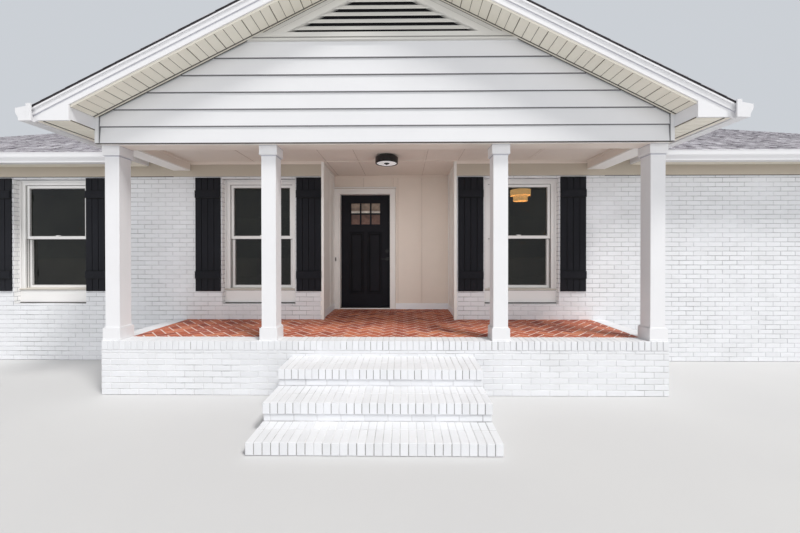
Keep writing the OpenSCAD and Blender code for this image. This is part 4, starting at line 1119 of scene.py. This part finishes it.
def build_entry():
    skin = Shape()
    back = RECESS_DEPTH
    for x, low in ((-483, 2757), (35, 2757), (119, BASE_HEAD), (538, BASE_HEAD)):
        skin.block((x - 15, back - 8, low), (x + 15, back, PORCH_CEILING), 2)
        # Painted shadow line beside each batten
        skin.block((x + 15, back - 3, low), (x + 19, back, PORCH_CEILING), 0, 1)
    skin.block((96, back - 12, PORCH_FLOOR), (RECESS[1], back, BASE_HEAD), 3, 3)
    skin.block((RECESS[0], back - 14, CROWN_FOOT), (RECESS[1], back, PORCH_CEILING), 2)
    for x, inward in ((RECESS[0], 1), (RECESS[1], -1)):
        for deep, y0, y1, z0, z1, bevel, mark in (
                (10, 2, ENTRY_FACE, PORCH_FLOOR, BASE_HEAD, 3, 3),
                (12, 2, ENTRY_FACE, CROWN_FOOT, PORCH_CEILING, 2, 2),
                (8, 565, 595, BASE_HEAD, CROWN_FOOT, 2, 2),
                # The 3 mm strips are painted shadow lines beside the side battens
                (3, 595, 600, BASE_HEAD, CROWN_FOOT, 0, 1),
                (9, 2, 62, BASE_HEAD, CROWN_FOOT, 2, 2),
                (3, 62, 67, BASE_HEAD, CROWN_FOOT, 0, 1),
                (9, 872, ENTRY_FACE, BASE_HEAD, CROWN_FOOT, 2, 2)):
            skin.block((x, y0, z0), (x + deep * inward, y1, z1), bevel, mark)
    # Painted shadow line under the head trim
    skin.block((-984, 902, 2729), (98, 912, 2736), 0, 1)
    skin.block((-985, 896, 2736), (106, back, 2757), 3, 2)
    skin.ring((-978, PORCH_FLOOR, 92, 2729), 16, 903, 911, 3, 2, False)
    skin.ring((-902, PORCH_FLOOR, 16, 2653), 12, 905, 911, 3, 2, False)
    piece("entry_battens", skin, [ENTRY_BOARD, CEILING_SHADE_LINE, LIT_PORCH_PAINT, BASEBOARD])

    fittings = Shape()
    fittings.block((-967, 900, 1456), (-949, 911, 1522), 3.5)
    fittings.block((-886, 952, 624), (-2, 1026, 637), 3)
    piece("entry_fittings", fittings, [BLACK])

    leaf = Shape()
    for x0, x1 in ((-723, -489), (-399, -165)):
        leaf.ring((x0 - 12, 872, x1 + 12, 1971), 12, 1029, 1036, 2.5)
        # Black lines round each moulding and inside each panel are painted shadow
        leaf.ring((x0 - 17, 867, x1 + 17, 1976), 5, 1034.5, 1035.5, 0, 1)
        leaf.ring((x0 + 22, 906, x1 - 22, 1937), 10, 1042, 1044.5, 0, 1)
        leaf.ring((x0, 884, x1, 1959), 16, 1034, 1045, 3)
        leaf.block((x0 + 34, 1037, 918), (x1 - 34, 1046, 1925), 5)
    leaf.ring((-717, 2096, -171, 2502), 14, 1027, 1036, 3)
    piece("door_mouldings", leaf, [DOOR, BLACK_SHADE_LINE], "door")


def build_lamps():
    glow = Shape()
    glow.lathe([(36, 2856), (128, 2853), (138, 2858), (138, 2866), (36, 2866)], LAMP, 48)
    piece("lamp_diffuser", glow, [DIFFUSER])
    drum = Shape()
    drum.lathe([(118, 2935), (124, 2940), (124, 2960), (60, 2960)], LAMP, 48)
    drum.lathe([(110, 2867), (139, 2867), (139, 2852), (156, 2852),
                (158, 2856), (158, 2934), (154, 2938), (110, 2938)], LAMP, 48)
    drum.lathe([(34, 2848), (40, 2852), (40, 2860), (20, 2866)], LAMP, 32)
    drum.lathe([(10, 2836), (14, 2840), (14, 2846), (8, 2852)], LAMP, 24)
    piece("lamp_drum", drum, [BLACK], over=("porch_lamp",))
    slats = Shape()
    for radius, foot in ((168, 2612), (118, 2517)):
        slats.lathe([(radius, foot), (radius, foot + 100)], PENDANT, 72, 5)
    piece("pendant_slats", slats, [SHADE])


# Windows


def dress_window(skin):
    """Casings, beads, sill and catch of a double-hung window, with near-black seams as painted shadow round
    the sashes and panes, at the meeting rail, between the sill and the apron and at the apron's foot.
    """
    half = WINDOW_HALF
    skin.ring((-half, SASH_FOOT - 2, half, WINDOW_HEAD), 24, SETBACK - 15, SETBACK, 5, 0, False)
    edge, head = half - 30, WINDOW_HEAD - 28
    skin.ring((-edge, SASH_FOOT - 2, edge, head), 12, SETBACK - 8, SETBACK, 3, 0, False)
    skin.ring((-SASH_HALF, SASH_FOOT, SASH_HALF, SASH_HEAD), 5, 111, 115.5, 0, 1)
    skin.ring((-SASH_HALF, SASH_FOOT, SASH_HALF, MEETING), 5, 146, 150.5, 0, 1)
    pane, bar = GLASS_HALF + 6, SASH_BAR - 6
    skin.ring((-pane, MEETING + bar, pane, SASH_HEAD - bar), 6, 112.5, 116, 0, 1)
    skin.ring((-pane, SASH_FOOT + bar, pane, MEETING + 6), 6, 147.5, 151, 0, 1)
    skin.bar(SASH_HALF, 112, 152, MEETING - 3, MEETING + 1, 0, 1)
    skin.bar(half, 68, SETBACK, 1044, SASH_FOOT, 4, 2)
    skin.bar(SASH_HALF, SETBACK, 150, SASH_FOOT - 1, SASH_FOOT + 8, 2, 2)
    skin.bar(half, SETBACK - 3, SETBACK, 1036, 1044, 0, 1)
    skin.bar(half, SETBACK - 6, SETBACK, 856, 1036, 3)
    skin.bar(half, SETBACK - 12, SETBACK, WINDOW_FOOT, 856, 0, 1)
    skin.bar(24, 106, 116, MEETING + 46, MEETING + 52, 2)
    skin.bar(38, 128, 151, MEETING + 52, MEETING + 62, 3)


def build_windows():
    for name, turns in (("front", FRONT_TURNS), ("back", BACK_TURNS + END_TURNS)):
        skin = Shape()
        for turn in turns:
            skin.turn = turn
            dress_window(skin)
        piece(f"{name}_window_trims", skin, [FRAME, SHADOW_SEAM, SILL])


def build_shutters():
    """Grooves between the boards and lines at the edges of each rail, painted black as shade, with a rail
    plate and screws at each rail.
    """
    skin = Shape()
    board = SHUTTER_BOARD
    for x in WINDOWS:
        for x0 in (x - 940, x + 568):
            for i in (1, 2, 3):
                groove = x0 + board * i
                skin.block((groove - 5, -14, SHUTTER_FOOT + 2), (groove + 5, -13, 2723), 0, 1)
            for foot in (SHUTTER_FOOT + 190, SHUTTER_FOOT + 1391):
                for low, high in ((-12, 0), (110, 118)):
                    skin.block((x0 + 2, -24, foot + low), (x0 + 370, -21.5, foot + high), 0, 1)
                skin.block((x0 + 6, -42, foot + 6), (x0 + 366, -39.5, foot + 104), 2)
                for i in range(4):
                    middle = x0 + board / 2 + board * i
                    for z in (foot + 30, foot + 80):
                        skin.block((middle - 5, -44, z - 5), (middle + 5, -41, z + 5), 2)
    piece("shutter_details", skin, [SHUTTER, BLACK_SHADE_LINE])


# Camera, stage and light

# Focal length, width and shift of the photograph in pixels
FOCAL = 341.29
PHOTO_WIDTH = 800
SHIFT = -13.21
STAGE_REACH = 90
STAGE_LEVEL = -0.002


def build_stage():
    ground = new_material("studio_floor", grey(0.62), 0.9)
    base(ground, ramp(ground, noise(ground, 0.4), [(0.3, (0.61, 0.61, 0.615)), (0.7, grey(0.635))]))
    mesh = bpy.data.meshes.new("studio_floor")
    reach = STAGE_REACH
    corners = ((-reach, -reach), (reach, -reach), (reach, reach), (-reach, reach))
    mesh.from_pydata([(x, y, STAGE_LEVEL) for x, y in corners], [], [(0, 1, 2, 3)])
    mesh.materials.append(ground)
    floor = add_object("studio_floor", mesh)


def build_world():
    """An even light from all round, behind a plain background that only the camera and glass see."""
    world = bpy.data.worlds.new("studio")
    bpy.context.scene.world = world
    world.use_nodes = True
    nodes, links = world.node_tree.nodes, world.node_tree.links
    nodes.clear()

    def background(colour, strength):
        node = nodes.new("ShaderNodeBackground")
        node.inputs["Color"].default_value = (*colour, 1)
        node.inputs["Strength"].default_value = strength
        return node.outputs[0]

    path = nodes.new("ShaderNodeLightPath")
    mix = nodes.new("ShaderNodeMixShader")
    shown = path.outputs["Is Camera Ray"]
    for ray in ("Is Glossy Ray", "Is Transmission Ray"):
        either = nodes.new("ShaderNodeMath")
        either.operation = "MAXIMUM"
        links.new(shown, either.inputs[0])
        links.new(path.outputs[ray], either.inputs[1])
        shown = either.outputs[0]
    links.new(shown, mix.inputs[0])
    links.new(background((0.95, 0.97, 1), 0.46), mix.inputs[1])
    links.new(background((0.60, 0.63, 0.67), 1), mix.inputs[2])
    links.new(mix.outputs[0], nodes.new("ShaderNodeOutputWorld").inputs[0])


def add_sun(name, energy, angle, direction):
    data = bpy.data.lights.new(name, "SUN")
    data.energy = energy
    data.angle = math.radians(angle)
    sun = add_object(name, data)
    sun.rotation_euler = Vector(direction).to_track_quat("-Z", "Y").to_euler()
    return sun


def build_light():
    """A soft sun from the upper right of the street, and two wide fills from the front."""
    build_world()
    sun = add_sun("soft_sun", 2.45, 14, (-0.5, 0.44, -1))
    sun.data.color = (1, 0.98, 0.95)
    for name, side in (("left_fill", -1), ("right_fill", 1)):
        fill = add_sun(name, 0.66, 40, (-0.45 * side, 1, -0.1))
        fill.visible_glossy = False


def build_camera():
    data = bpy.data.cameras.new("front_view")
    data.sensor_width = 36
    data.lens = FOCAL * data.sensor_width / PHOTO_WIDTH
    data.shift_y = SHIFT / PHOTO_WIDTH
    data.clip_start = 0.05
    data.clip_end = 300
    camera = add_object("front_view", data)
    camera.location = (0.2369, -5.0751 + FRONT_Y / 1000, 1.6182)
    camera.rotation_euler = (math.radians(90 - 0.236), math.radians(0.046), math.radians(0.622))
    bpy.context.scene.camera = camera


for build in (build_walls, build_inner_walls, build_porch_base, build_steps, build_pavers,
              build_main_shingles, build_porch_shingles, build_ridge_caps, build_eave_soffits,
              build_porch_soffits, build_gable, build_vent, build_rake_lines, build_end_lines,
              build_gutter_parts, build_porch_trims, build_entry, build_lamps, build_windows,
              build_shutters, build_stage, build_light, build_camera):
    build()
bpy.context.scene.view_settings.view_transform = "Standard"
